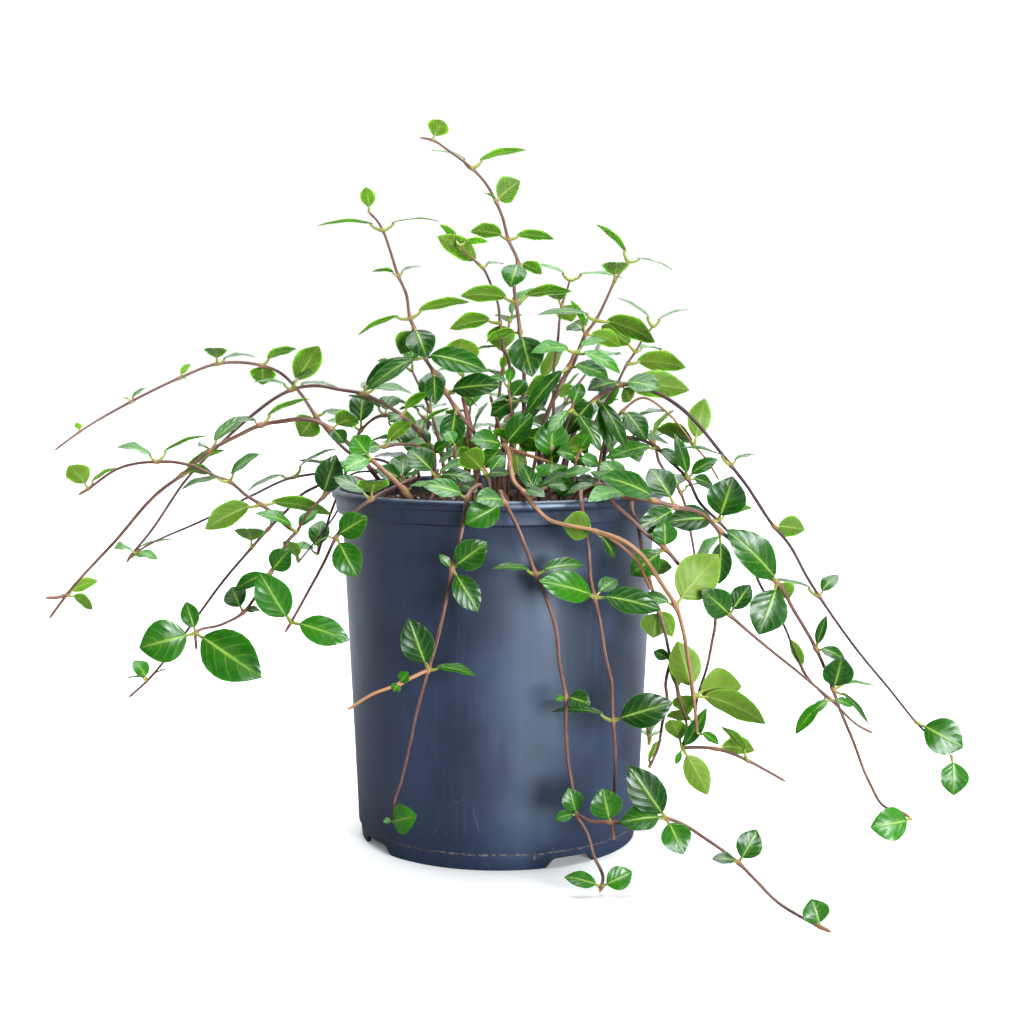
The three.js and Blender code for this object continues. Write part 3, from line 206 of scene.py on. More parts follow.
class Paint(Nodes):
    """One material with a Principled shader. Numbers given by name go on the shader's own sockets."""

    def __init__(self, name, **fixed):
        self.material = bpy.data.materials.new(name)
        self.material.use_nodes = True
        super().__init__(self.material.node_tree)
        self.shader = self.tree.nodes["Principled BSDF"]
        for socket, value in fixed.items():
            self.shader.inputs[socket.replace("_", " ")].default_value = value

    def place(self):
        """Where a point lies in the piece, in metres."""
        return self.node("TexCoord", output="Object")

    def noise(self, grain, detail=2.0, rough=0.5, squash=(1, 1, 1)):
        """Soft random values with lumps of about that many millimetres."""
        spot = self.node("VectorMath", {"operation": "MULTIPLY"}, {0: self.place(), 1: squash})
        return self.node("TexNoise", None, {
            "Vector": spot, "Scale": 1 / (grain * MM), "Detail": detail, "Roughness": rough})

    def attribute(self, name, output="Fac"):
        return self.node("Attribute", {"attribute_name": name}, None, output)

    def feed(self, socket, value):
        self.tree.links.new(value.socket, self.shader.inputs[socket])

    def bump(self, height, depth, strength=1.0):
        """Raises the surface by up to depth millimetres where height is 1."""
        self.feed("Normal", self.node("Bump", None, {
            "Strength": strength, "Distance": depth * MM, "Height": height}))


# %% [markdown]
# ## The surround
# The surround is bright above and behind the plant and dark on the side of the lens, where the room
# is, so the pot's front stays dark and its edges shine. The floor is nearly as bright as the dome to
# the lens, and darker in front of the pot to all that it lights.

# %% World, dome paint and floor paint
world = bpy.data.worlds.new("white surround")
world.use_nodes = True
sky = Nodes(world.node_tree)
looking = sky.node("TexCoord", output="Generated")
backwards, upwards = (sky.part(looking, axis) for axis in "YZ")
bright = (backwards * 0.75 + upwards * 0.66).step(0.15, 0.95, 0.10, 2.4)
light = sky.node("Background", None, {"Color": (0.93, 0.965, 1, 1), "Strength": bright})
sky.tree.links.new(light.socket, world.node_tree.nodes["World Output"].inputs["Surface"])
bpy.context.scene.world = world

dome_paint = Paint("white dome", Roughness=1.0, Specular_IOR_Level=0.0, Emission_Strength=0.97,
                   Emission_Color=(1, 1, 1, 1), Base_Color=(0.05, 0.05, 0.05, 1))
dome.data.materials.append(dome_paint.material)

floor_paint = Paint("pale floor", Roughness=0.9, Specular_IOR_Level=0.2, Emission_Strength=1.0)
away = floor_paint.node("VectorMath", {"operation": "LENGTH"}, {0: floor_paint.place()}, "Value")
floor_paint.feed("Emission Color", away.step(0.3, 1.6, 0.12, 0.60))
floor_paint.feed("Base Color", floor_paint.mix(
    floor_paint.noise(120, 1), (0.90, 0.90, 0.895), (0.94, 0.94, 0.935)))
back_share = floor_paint.part(floor_paint.place(), "Y").step(0.10, 0.60)
dim_floor = floor_paint.node("BsdfDiffuse", None, {"Color": floor_paint.mix(
    back_share, (0.20, 0.21, 0.23), (0.95, 0.95, 0.95))})
shown = floor_paint.node("MixShader", None, {
    0: floor_paint.node("LightPath", output="Is Camera Ray"), 1: dim_floor})
floor_tree = floor_paint.tree
floor_tree.links.new(floor_paint.shader.outputs[0], shown.socket.node.inputs[2])
floor_tree.links.new(shown.socket, floor_tree.nodes["Material Output"].inputs["Surface"])
floor.data.materials.append(floor_paint.material)

# %% [markdown]
# ## Where the runners go
# Asiatic jasmine has no rule simple enough to draw this plant, because each runner took its own way.
# So the way of every runner that shows is a list of points, in millimetres from the pot's foot, and
# a point that is a stem joint goes on with its leaves: the tip's offset from the joint, the angle by
# which the leaf's upper side is turned from facing up to facing the viewer, and the leaf's width.
# The points are those of the solid model, so the fine leaves lie exactly where the plain ones do.

# %% Ways of the runners that show
RUNNERS = [
  {"name": "runner_front_middle", "thick": [1.3, 0.9], "bark": 0, "routes": [
    [[5, -62, 160], [5, -62, 173], [1, -76, 182],
     [3, -89, 178, [-18, -8, -9, 75, 14], [-13, -8, 2, 50, 12]], [8, -93, 169], [13, -94, 157],
     [17, -95, 146, [-20, -4, 3, 22, 7], [22, 3, 4, 45, 9]], [21, -95, 137], [26, -95, 122],
     [28, -94, 105], [31, -94, 89, [11, -5, -2, 60, 10], [-5, -2, -1, 40, 4]], [31, -94, 75],
     [32, -94, 60], [34, -95, 48], [36, -96, 35, [-4, -2, 13, 70, 10], [-10, -2, -2, 45, 6]],
     [41, -97, 26], [44, -98, 16], [48, -101, 7],
     [47, -106, 4, [-17, -1, 5, 50, 8], [14, 1, 7, 70, 11]], [46, -112, 4]],
    [[36, -96, 35], [41, -99, 33], [51, -102, 33, [-4, -4, 17, 80, 15]], [58, -103, 33],
     [76, -106, 36, [-18, -6, 26, 80, 16], [-21, -9, -1, 50, 13], [7, -4, -14, 60, 14]],
     [85, -108, 33], [92, -111, 29], [101, -117, 24],
     [107, -121, 20, [-12, -1, 2, 32, 7], [8, 1, 15, 80, 12]], [113, -128, 15], [122, -140, 8],
     [130, -149, 5], [137, -156, 3, [-4, 1, 12, 80, 12], [2, -4, -5, 40, 6]], [141, -159, 2]],
  ]},
  {"name": "runner_front_left", "thick": [1.4, 0.8], "bark": 0, "routes": [
    [[-8, -60, 160], [-8, -60, 173], [-8, -70, 184], [-14, -88, 180, [-20, -5, 6, 45, 11]],
     [-16, -90, 168], [-17, -91, 163],
     [-21, -91, 148, [16, -6, 13, 80, 14], [12, -6, -19, 75, 12], [-6, -2, 7, 60, 4]],
     [-23, -91, 137], [-28, -90, 115], [-32, -89, 101, [-9, -6, 25, 85, 15], [22, -4, -2, 25, 7]],
     [-37, -88, 83], [-41, -87, 65], [-45, -85, 48], [-49, -84, 34],
     [-49, -84, 28, [12, -14, 7, 72, 14], [-5, 0, 0, 30, 4]]],
    [[-32, -89, 101], [-39, -91, 98], [-45, -92, 95, [4, -2, 6, 60, 6], [-3, -2, -3, 60, 5]],
     [-58, -92, 90], [-69, -92, 83]],
  ]},
  {"name": "runner_front_right", "thick": [1.3, 0.9], "bark": 0, "routes": [
    [[34, -62, 160], [34, -62, 173], [38, -72, 182], [38, -86, 177], [39, -88, 171], [41, -89, 159],
     [43, -90, 139], [44, -91, 135, [-26, -7, 10, 68, 14], [30, -4, -5, 60, 13], [11, 5, 7, 50, 8]],
     [47, -91, 121], [49, -90, 108], [52, -89, 96],
     [53, -88, 77, [27, -6, 10, 75, 16], [-29, -4, 4, 18, 7]], [54, -88, 66], [54, -87, 45],
     [53, -86, 26], [54, -86, 20]],
  ]},
  {"name": "runner_front_thick", "thick": [1.9, 0.9], "bark": 3, "routes": [
    [[0, 2, 160], [0, 2, 173], [1, -6, 194],
     [3, -16, 199, [14, -6, 17, 70, 13], [-17, -10, 4, 50, 13], [-11, -7, -10, 60, 11]],
     [5, -26, 197], [6, -46, 191], [8, -68, 185], [12, -81, 182, [9, -12, -1, 40, 7]],
     [17, -92, 176], [23, -97, 171], [30, -99, 169],
     [44, -99, 166, [-15, 5, 3, -78, 14], [9, 4, -13, 60, 6]], [52, -99, 162], [58, -97, 157],
     [63, -94, 152], [67, -91, 144], [70, -89, 138]],
    [[3, -16, 199], [16, -22, 195], [26, -27, 192, [0, -5, 22, 85, 17], [0, -15, -7, 30, 16]]],
    [[44, -99, 166], [56, -101, 162], [64, -100, 156], [70, -97, 148], [76, -94, 139],
     [81, -92, 131, [20, 6, 23, -85, 21], [-16, 4, 3, 50, 7]], [84, -91, 122], [87, -90, 107],
     [90, -88, 89, [-7, 7, 24, -70, 15], [23, 5, 3, -70, 19], [33, 10, -12, -60, 15]],
     [92, -87, 71, [10, -2, -5, 30, 6]]],
  ]},
  {"name": "runner_right_front", "thick": [1.4, 0.7], "bark": 0, "routes": [
    [[46, -56, 160], [46, -56, 173], [47, -66, 182], [50, -74, 180], [53, -78, 177], [62, -81, 169],
     [67, -81, 164], [77, -81, 156, [-16, -6, -12, 75, 13], [-1, -2, 13, 80, 12]], [84, -80, 148],
     [94, -77, 137], [108, -74, 124, [-15, -6, 14, 80, 14], [10, 3, 14, 60, 10]], [123, -72, 111],
     [144, -70, 94], [157, -70, 83, [10, -2, -3, 40, 5], [-10, -4, -6, 40, 5]], [171, -70, 70],
     [177, -70, 67]],
    [[94, -77, 137], [101, -76, 124], [100, -73, 110], [98, -71, 98], [94, -70, 84],
     [93, -70, 72, [-13, 3, 1, -50, 9]]],
  ]},
  {"name": "runner_right_sweep", "thick": [1.6, 0.8], "bark": 0, "routes": [
    [[37, -50, 160], [37, -50, 173], [43, -52, 181], [48, -54, 183, [-16, -8, -4, 30, 6]],
     [54, -59, 182], [59, -67, 179, [-18, -14, 0, 40, 11], [-16, -4, 11, 35, 13]],
     [73, -69, 177, [-27, -8, 13, 55, 14]],
     [83, -67, 174, [-19, -11, -10, 50, 12], [-11, 4, 17, 60, 14]], [95, -63, 171],
     [105, -59, 162, [1, 8, -27, 60, 11]], [118, -54, 151], [127, -51, 140],
     [134, -50, 136, [-26, -7, 27, 65, 18], [-10, -9, -24, 85, 19], [7, 5, -9, -50, 11]],
     [142, -50, 123], [153, -52, 104, [4, -4, 17, 40, 5], [13, -6, -4, 50, 7]],
     [161, -54, 85, [2, 5, 18, 70, 15], [21, 0, 1, 10, 5], [17, -3, -17, 30, 4]], [164, -56, 76],
     [170, -60, 61], [177, -66, 42], [184, -70, 31], [190, -73, 30],
     [195, -75, 27, [-21, -8, -2, 80, 16]]],
  ]},
  {"name": "runner_right_hang", "thick": [1.3, 0.8], "bark": 0, "routes": [
    [[57, -36, 160], [57, -36, 173], [58, -46, 182], [61, -54, 182, [-12, 6, 12, 50, 12]],
     [63, -60, 178], [63, -65, 172], [65, -68, 167], [67, -70, 156],
     [70, -72, 143, [12, 7, 2, -60, 10]],
     [75, -72, 126, [-2, 4, -14, -80, 14], [-12, 2, -3, -40, 7], [8, 7, -15, -70, 9]],
     [78, -72, 116], [81, -72, 102, [-8, 2, 4, 60, 6]],
     [85, -71, 85, [6, 5, -11, -50, 11], [-1, 6, 23, -60, 7]], [89, -71, 69],
     [87, -71, 60, [-7, 4, 16, -60, 10], [11, -5, 25, 60, 8], [12, -3, -22, -78, 12],
       [-3, 0, -8, 60, 3]]],
    [[87, -71, 60], [95, -74, 61], [102, -77, 61, [19, 4, -2, -60, 12]], [110, -79, 59],
     [117, -80, 56, [-14, -2, 18, -20, 7]], [125, -82, 52], [134, -83, 47]],
    [[81, -72, 102], [79, -70, 91], [80, -68, 81], [78, -66, 71], [76, -65, 58],
     [72, -65, 49, [7, 2, 12, -40, 7]]],
  ]},
  {"name": "runner_left_fork", "thick": [1.5, 0.8], "bark": 0, "routes": [
    [[-60, -24, 160], [-60, -24, 173], [-72, -30, 185], [-76, -33, 183],
     [-85, -37, 176, [7, -7, 21, 85, 14]], [-91, -39, 170], [-95, -39, 164],
     [-98, -38, 159, [-19, -7, 10, 28, 10], [10, 5, 10, 28, 8]]],
    [[-98, -38, 159], [-102, -37, 161], [-110, -35, 168],
     [-116, -33, 172, [-26, -10, -11, -60, 14], [35, -13, -5, -50, 10]], [-123, -31, 176],
     [-132, -29, 183, [16, -4, 14, 32, 9], [-22, -5, -3, 14, 8]], [-138, -27, 185], [-150, -24, 190],
     [-160, -22, 192], [-169, -20, 192, [26, 1, 13, -14, 7], [-18, -7, 8, 16, 13]], [-180, -18, 191],
     [-190, -16, 188], [-198, -14, 183],
     [-205, -13, 178, [-8, -6, 12, -72, 13], [13, 6, 10, -25, 6]], [-210, -13, 175]],
    [[-98, -38, 159], [-102, -40, 155], [-106, -42, 147],
     [-110, -44, 140, [10, -4, 12, 80, 12], [-17, -4, -8, 60, 8]], [-117, -46, 129],
     [-123, -48, 121, [-7, 4, 11, 75, 12], [8, 1, 1, 25, 6]], [-134, -48, 115],
     [-146, -48, 111, [-26, -8, -6, 80, 21], [33, -10, -20, 75, 24], [-5, 2, 15, 70, 9]],
     [-146, -48, 103]],
  ]},
  {"name": "runner_left_drop", "thick": [1.4, 0.8], "bark": 1, "routes": [
    [[-56, -34, 160], [-56, -34, 173], [-40, -44, 186], [-47, -51, 183], [-53, -62, 181],
     [-59, -73, 178, [3, -13, 10, 0, 15], [-18, 6, 10, 40, 9]], [-66, -77, 173],
     [-75, -77, 161, [15, -5, 10, 75, 13], [10, -6, -18, 80, 14], [-12, 6, -6, 12, 5]],
     [-81, -74, 149], [-90, -68, 133], [-98, -64, 119, [-14, -8, 25, 85, 17], [28, -4, -8, 70, 14]],
     [-101, -62, 114]],
  ]},
  {"name": "runner_left_pink", "thick": [1.6, 0.8], "bark": 0, "routes": [
    [[-55, -14, 160], [-55, -14, 173], [-63, -14, 187], [-71, -15, 197],
     [-83, -16, 208, [14, -8, 6, -50, 13], [7, -6, -7, 30, 9]], [-88, -16, 211], [-96, -16, 213],
     [-106, -15, 212], [-118, -14, 210, [25, -2, 13, -18, 7], [-14, 4, 1, 15, 7]], [-129, -14, 205],
     [-144, -13, 197, [17, 1, 17, 8, 9], [-5, -9, 3, 14, 12]],
     [-158, -13, 185, [20, -5, 12, -35, 8], [17, 7, 2, -45, 9]], [-169, -13, 177], [-192, -12, 152],
     [-218, -10, 124, [14, 4, 6, -60, 8], [14, -3, -7, -60, 8]], [-227, -10, 112]],
    [[-218, -10, 124], [-222, -12, 123], [-228, -13, 123]],
  ]},
  {"name": "runner_right_long", "thick": [1.7, 0.8], "bark": 2, "routes": [
    [[33, -10, 160], [33, -10, 173], [34, -10, 195],
     [37, -10, 202, [-12, -4, 12, 38, 10], [8, -6, -7, -50, 8]], [39, -12, 214],
     [49, -13, 223, [7, -6, -26, 45, 9], [14, -10, -25, 50, 8], [9, 12, 9, 20, 16],
       [-16, -14, -18, 70, 13]],
     [61, -15, 230, [-17, -6, -3, 30, 12], [19, -9, -2, 42, 14], [35, 8, -3, -70, 15],
       [4, -6, -8, -60, 9]], [76, -17, 227], [91, -20, 218], [99, -22, 210], [107, -25, 200],
     [114, -28, 191, [-26, -4, 9, 12, 7], [13, 3, 5, 10, 6]], [121, -30, 182],
     [135, -34, 161, [16, 6, -2, -75, 12]], [141, -36, 154], [151, -40, 136],
     [156, -42, 128, [-26, -4, 7, 10, 6], [10, 4, 10, 30, 8]], [175, -48, 101], [189, -52, 84],
     [201, -56, 69, [21, -7, -11, 80, 18]], [211, -55, 59], [219, -54, 52, [0, -6, -18, 80, 14]]],
  ]},
  {"name": "runner_right_mid", "thick": [1.6, 0.8], "bark": 2, "routes": [
    [[56, 4, 160], [56, 4, 173], [58, 2, 202],
     [64, 0, 203, [22, -7, -3, 25, 6], [7, -9, -12, 40, 11]], [72, -2, 202],
     [80, -4, 198, [12, -8, -9, 50, 7], [-27, -6, -5, 30, 9]], [86, -6, 192],
     [95, -9, 183, [-8, -5, 23, 65, 7], [15, 2, 10, 50, 8], [14, 4, -5, 50, 8]], [101, -12, 171],
     [110, -15, 162, [-27, -8, 0, 55, 15], [6, -7, 23, 80, 20], [18, 6, 6, -40, 8]], [118, -17, 153],
     [127, -19, 139], [130, -20, 132], [136, -22, 121], [142, -25, 111], [147, -28, 98],
     [151, -31, 89, [-6, 3, 15, -50, 6]], [162, -34, 76, [-16, -5, -17, 40, 7]]],
  ]},
  {"name": "stem_top_left", "thick": [1.5, 0.7], "bark": 0, "routes": [
    [[-12, -12, 160], [-12, -12, 173], [-11, -13, 205], [-15, -13, 210],
     [-21, -13, 218, [-3, -9, -19, 80, 13]],
     [-26, -12, 226, [28, -9, 4, 65, 13], [16, 5, -7, 10, 7]], [-32, -11, 236, [1, -9, -16, 80, 10]],
     [-37, -9, 244, [-28, -8, -17, 45, 10], [32, -14, -7, 62, 14]],
     [-42, -7, 258, [7, -13, -15, 62, 15], [-7, 5, -13, -70, 12]],
     [-44, -6, 263, [-26, -4, -9, -22, 7], [30, -2, 8, -32, 9]], [-46, -4, 275],
     [-50, -2, 284, [-13, -4, 2, -15, 7], [11, 3, 5, 8, 6]], [-55, 2, 299],
     [-58, 4, 307, [-33, -2, 2, -14, 6], [29, 3, 5, 5, 6]], [-61, 5, 312],
     [-65, 6, 316, [-1, -6, 12, -45, 8]]],
  ]},
  {"name": "stem_top_tall", "thick": [1.6, 0.6], "bark": 0, "routes": [
    [[13, 0, 160], [13, 0, 173], [13, 0, 223, [-17, -8, -9, 55, 11]], [13, 0, 237],
     [11, -1, 256, [6, -13, -22, 85, 18], [-17, 8, -5, -30, 8]],
     [9, -2, 271, [-28, -4, 3, -45, 12], [28, -2, 5, -32, 10]], [8, -2, 278],
     [10, -3, 290, [-4, -12, -12, 60, 13], [12, 6, -5, -35, 9]],
     [5, -4, 302, [-19, -4, 4, -40, 11], [23, -2, 0, -38, 8]], [2, -6, 313],
     [-1, -8, 320, [12, 8, 11, -60, 14], [-6, -6, 4, 5, 4]], [-7, -10, 330],
     [-13, -12, 336, [27, 1, 9, -25, 7], [-21, 4, 10, 8, 5]], [-24, -15, 344],
     [-32, -17, 349, [5, -5, 9, -60, 11]], [-38, -19, 350]],
  ]},
  {"name": "stem_right_lean", "thick": [1.7, 1.1], "bark": 0, "routes": [
    [[21, -12, 160], [21, -12, 173], [23, -14, 212], [30, -16, 228],
     [35, -17, 239, [19, -9, -6, 32, 13], [-22, -8, -24, 45, 9]],
     [38, -18, 246, [-22, -6, 0, 30, 12], [22, -3, -10, 38, 9], [16, 4, 6, 25, 8]]],
  ]},
  {"name": "runner_left_high", "thick": [1.3, 0.6], "bark": 0, "routes": [
    [[-50, 22, 160], [-50, 22, 173], [-68, 22, 187], [-80, 22, 196],
     [-95, 24, 213, [22, -4, -1, 20, 8], [-9, 6, -11, -80, 15]], [-103, 24, 225], [-114, 22, 236],
     [-122, 20, 239, [19, -6, 9, -25, 9], [-1, 8, -10, -70, 14]],
     [-144, 14, 240, [1, -16, 8, 0, 12], [19, 3, 4, 10, 8]],
     [-162, 8, 233, [5, 2, 7, -30, 5], [4, -2, -1, -30, 3]],
     [-186, 2, 221, [7, 2, 7, 20, 4], [-4, -2, 2, -10, 3]], [-211, -4, 206, [-1, -2, 5, -40, 4]],
     [-223, -6, 197]],
  ]},
  {"name": "runner_left_arch", "thick": [1.4, 0.8], "bark": 1, "routes": [
    [[-34, 2, 160], [-34, 2, 173], [-33, 2, 195, [-10, -6, 3, -35, 9], [7, -4, 5, 60, 7]],
     [-40, 2, 206, [16, -2, 12, -15, 6]], [-49, 2, 214, [14, -4, 12, -35, 7], [-6, -7, -3, 50, 9]],
     [-62, 3, 222], [-69, 4, 225, [20, -6, 19, 45, 8], [8, 4, 8, -30, 11], [25, 8, 0, 20, 12]],
     [-80, 5, 227], [-93, 6, 229],
     [-105, 6, 227, [15, -8, 22, -60, 14], [12, -14, 9, 35, 10], [-19, -3, 4, 12, 7],
      [24, 8, 0, 15, 7]],
     [-113, 6, 223], [-124, 6, 215], [-140, 6, 201], [-157, 5, 184], [-179, 3, 153],
     [-188, 2, 142, [22, 3, 8, 8, 5], [12, -4, 0, 25, 6]], [-190, 2, 139]],
  ]},
  {"name": "runner_left_low", "thick": [1.3, 0.8], "bark": 2, "routes": [
    [[-66, 2, 160], [-66, 2, 173], [-78, -3, 183], [-93, -8, 178], [-97, -10, 176], [-107, -13, 166],
     [-115, -15, 158, [6, 5, 8, 30, 7]], [-123, -17, 149, [0, -16, 11, 0, 16]], [-139, -21, 130],
     [-147, -23, 119], [-161, -23, 100],
     [-176, -20, 82, [-8, -8, 3, -20, 9], [9, 4, 5, -15, 7], [-7, -3, 10, 25, 9]], [-186, -18, 73]],
  ]},
  {"name": "runner_left_behind", "thick": [1.3, 0.8], "bark": 2, "routes": [
    [[-46, 36, 160], [-46, 36, 173], [-64, 30, 190], [-80, 24, 186], [-90, 18, 184], [-98, 13, 183],
     [-105, 10, 182, [23, 1, 15, 10, 7], [-24, -4, -7, 14, 7]], [-126, 2, 173], [-150, -4, 161],
     [-175, -12, 150], [-182, -15, 146, [-9, -6, 3, 15, 12], [12, -3, -3, 30, 6]]],
  ]},
  {"name": "runner_left_thin", "thick": [1, 0.7], "bark": 2, "routes": [
    [[-54, 48, 160], [-54, 48, 173], [-78, 44, 181], [-84, 45, 176], [-85, 42, 164], [-94, 34, 150],
     [-105, 26, 136, [-7, -5, 12, -20, 11], [3, 7, 10, -30, 11]]],
  ]},
  {"name": "shoot_left_low", "thick": [1.3, 1], "bark": 0, "routes": [
    [[-46, -4, 160], [-46, -4, 173], [-40, -8, 199], [-50, -10, 200],
     [-57, -12, 199, [14, -8, 13, -45, 9], [-11, -6, -2, 50, 8], [11, 2, 7, -40, 7]],
     [-60, -13, 199]],
  ]},
  {"name": "shoot_left_orange", "thick": [1.9, 1.3], "bark": 3, "routes": [
    [[-40, -62, 160], [-40, -62, 173], [-44, -62, 181, [17, -6, 3, 14, 9]], [-48, -61, 185],
     [-53, -56, 189],
     [-61, -46, 195, [-9, 4, 11, 70, 12], [-12, -8, -5, 50, 11], [-11, 2, 2, -60, 13]]],
  ]},
  {"name": "shoot_heart_left", "thick": [1.4, 0.8], "bark": 0, "routes": [
    [[-44, -26, 160], [-44, -26, 173], [-46, -27, 178],
     [-47, -27, 183, [0, 10, 12, 35, 14], [-13, -4, 6, 50, 10], [-10, 8, 10, 62, 9], [8, -8, 4, 30, 8]],
     [-48, -27, 186]],
  ]},
  {"name": "shoot_heart_mid", "thick": [1.4, 0.8], "bark": 0, "routes": [
    [[-33, -46, 160], [-33, -46, 173], [-31, -44, 179],
     [-30, -40, 186, [-14, 5, 13, 50, 14], [19, -6, -1, 45, 9], [17, 4, 8, 35, 8], [6, -8, -9, 40, 8]],
     [-29, -39, 190]],
  ]},
  {"name": "shoot_heart_pale", "thick": [1.3, 0.8], "bark": 0, "routes": [
    [[-7, -50, 160], [-7, -50, 173], [-4, -51, 181],
     [-5, -50, 187, [-11, -3, 13, -85, 13], [10, -4, 2, 55, 7], [8, 5, 10, 60, 7]], [-7, -50, 192]],
  ]},
  {"name": "shoot_heart_right", "thick": [1.3, 0.8], "bark": 0, "routes": [
    [[14, -46, 160], [14, -46, 173], [18, -46, 178, [16, -6, 11, 28, 8], [-7, 3, 15, 62, 8]],
     [22, -44, 181, [-9, -9, 4, 60, 11], [14, -2, 1, 48, 9]],
     [28, -42, 184, [17, -4, 6, 40, 7], [11, -8, -5, 50, 7]], [30, -41, 186]],
  ]},
  {"name": "shoot_heart_back", "thick": [1.5, 0.7], "bark": 0, "routes": [
    [[10, -13, 160], [10, -13, 173], [9, -12, 187],
     [8, -12, 201, [13, 3, -4, -55, 10], [-11, -2, 6, -40, 7], [2, -6, -15, -70, 10]], [7, -11, 213],
     [6, -10, 222, [8, 5, 10, 60, 9], [19, 8, -6, 40, 8], [-10, 4, -2, 20, 7]],
     [5, -9, 229, [-10, 6, 5, 20, 7], [2, 4, 10, 60, 5]]],
  ]},
  {"name": "shoot_heart_east", "thick": [1.7, 0.9], "bark": 2, "routes": [
    [[30, -26, 160], [30, -26, 173], [31, -26, 188],
     [33, -27, 197, [11, 8, 6, -65, 9], [-9, -6, -4, 45, 8], [9, -4, -6, 55, 7]], [33, -27, 208],
     [36, -28, 218, [14, -6, -20, 45, 8], [5, 7, 13, 50, 8], [-12, -6, -12, 30, 7]], [37, -28, 223]],
  ]},
  {"name": "shoot_heart_low", "thick": [1.2, 0.7], "bark": 0, "routes": [
    [[22, -34, 160], [22, -34, 173], [36, -34, 183, [-8, -8, -7, 45, 8], [12, -6, 0, 40, 8]],
     [37, -35, 189], [38, -36, 195, [11, -6, -4, 45, 9], [-10, -4, 3, 50, 9]],
     [40, -37, 199, [4, -4, 8, 60, 7]]],
  ]},
  {"name": "shoot_heart_west", "thick": [1.2, 0.7], "bark": 0, "routes": [
    [[-20, -34, 160], [-20, -34, 173], [-19, -36, 181, [9, -8, -2, 45, 8], [-9, -6, -3, 40, 8]],
     [-20, -37, 189], [-21, -38, 196, [-8, -6, -3, 40, 8], [9, -4, 2, -45, 8]],
     [-21, -38, 201, [-4, 4, 7, 50, 7]]],
  ]},
  {"name": "stem_right_up", "thick": [1.9, 0.6], "bark": 0, "routes": [
    [[27, 8, 160], [27, 8, 173], [25, 8, 214], [29, 7, 224, [11, 6, 3, -62, 8]],
     [33, 6, 232, [-19, -4, -8, -42, 13]], [38, 4, 240], [41, 2, 248],
     [44, 0, 255, [-8, -4, 17, -12, 5], [-6, 5, 6, 65, 13], [18, 6, -6, -50, 11]],
     [49, -2, 262, [-30, -2, 2, 10, 7], [29, -7, -11, -52, 14]], [54, -3, 272],
     [58, -4, 281, [0, -17, 9, 0, 14]], [65, -3, 291, [-16, 2, 19, -22, 6], [23, 1, -4, 8, 5]]],
  ]},
  {"name": "stem_top_second", "thick": [1.5, 0.6], "bark": 0, "routes": [
    [[5, 20, 160], [5, 20, 173], [7, 20, 222], [6, 19, 230], [5, 18, 243],
     [3, 18, 247, [-15, 1, 0, -12, 6], [8, 5, -4, 20, 6]],
     [1, 17, 261, [-26, -6, -3, -45, 12], [1, 9, -14, -80, 15]], [0, 16, 270], [-4, 15, 281],
     [-8, 14, 289, [-23, -6, 16, -60, 12], [11, 5, 2, 10, 7]], [-14, 13, 294],
     [-20, 12, 300, [-10, 2, 11, -50, 5], [15, 3, 2, -45, 5]]],
  ]},
  {"name": "stem_top_right", "thick": [1.4, 0.6], "bark": 0, "routes": [
    [[30, 30, 160], [30, 30, 173], [29, 32, 221], [29, 31, 236], [31, 30, 251],
     [33, 28, 270, [-8, -12, 7, -8, 14], [6, 10, -8, -50, 13]], [36, 27, 279],
     [37, 26, 283, [-20, 2, 8, 14, 7], [28, 0, 1, 12, 7]]],
  ]},
  {"name": "stem_right_back", "thick": [1.3, 0.6], "bark": 0, "routes": [
    [[44, 26, 160], [44, 26, 173], [53, 26, 215], [61, 25, 228],
     [67, 24, 240, [30, -4, -2, -52, 14]], [71, 23, 246, [-18, -8, 14, -60, 14], [15, 7, 1, 12, 9]],
     [77, 22, 256], [80, 22, 259, [-19, 2, 15, 14, 5], [19, 1, 9, 10, 5]]],
  ]},
  {"name": "shoot_middle_left", "thick": [1.3, 0.9], "bark": 0, "routes": [
    [[-14, 12, 160], [-14, 12, 173],
     [-17, 12, 195, [-5, 2, 8, -70, 9], [7, -4, 6, -60, 7], [-9, -8, -2, 50, 8]], [-15, 12, 211],
     [-18, 12, 224], [-18, 12, 234, [-1, -9, 19, -28, 18], [-13, -3, 3, 18, 7]]],
  ]},
  {"name": "runner_right_tan", "thick": [1, 0.6], "bark": 3, "routes": [
    [[52, 16, 160], [52, 16, 173], [56, 8, 205], [63, 4, 216, [11, -8, -14, 60, 12]], [73, 2, 223],
     [85, 0, 216], [93, -2, 207], [99, -4, 199, [5, 1, 24, -85, 12], [-17, 8, 7, -60, 13]],
     [105, -6, 192], [111, -8, 182]],
  ]},
  {"name": "stub_red", "thick": [1.3, 1], "bark": 4, "routes": [
    [[-16, -2, 160], [-16, -2, 173], [-14, 0, 203], [-16, 0, 214], [-18, 0, 224]],
  ]},
  {"name": "stub_pale", "thick": [1.2, 0.9], "bark": 3, "routes": [
    [[2, 6, 160], [2, 6, 173], [1, 8, 206, [-6, -6, -2, -25, 7]], [-2, 8, 216], [-4, 8, 224]],
  ]},
]

# %% [markdown]
# ## The far side
# The photograph doesn't show the back, so runners there follow a rule: each leaves the soil at a
# bearing, arches over the rim and comes down in a curve, with a pair of leaves at every second
# point. Opposite pairs are turned a quarter round the stem each time, as the real plant's are.
# A small seeded generator draws the lengths, so the plant grows the same way on every run.

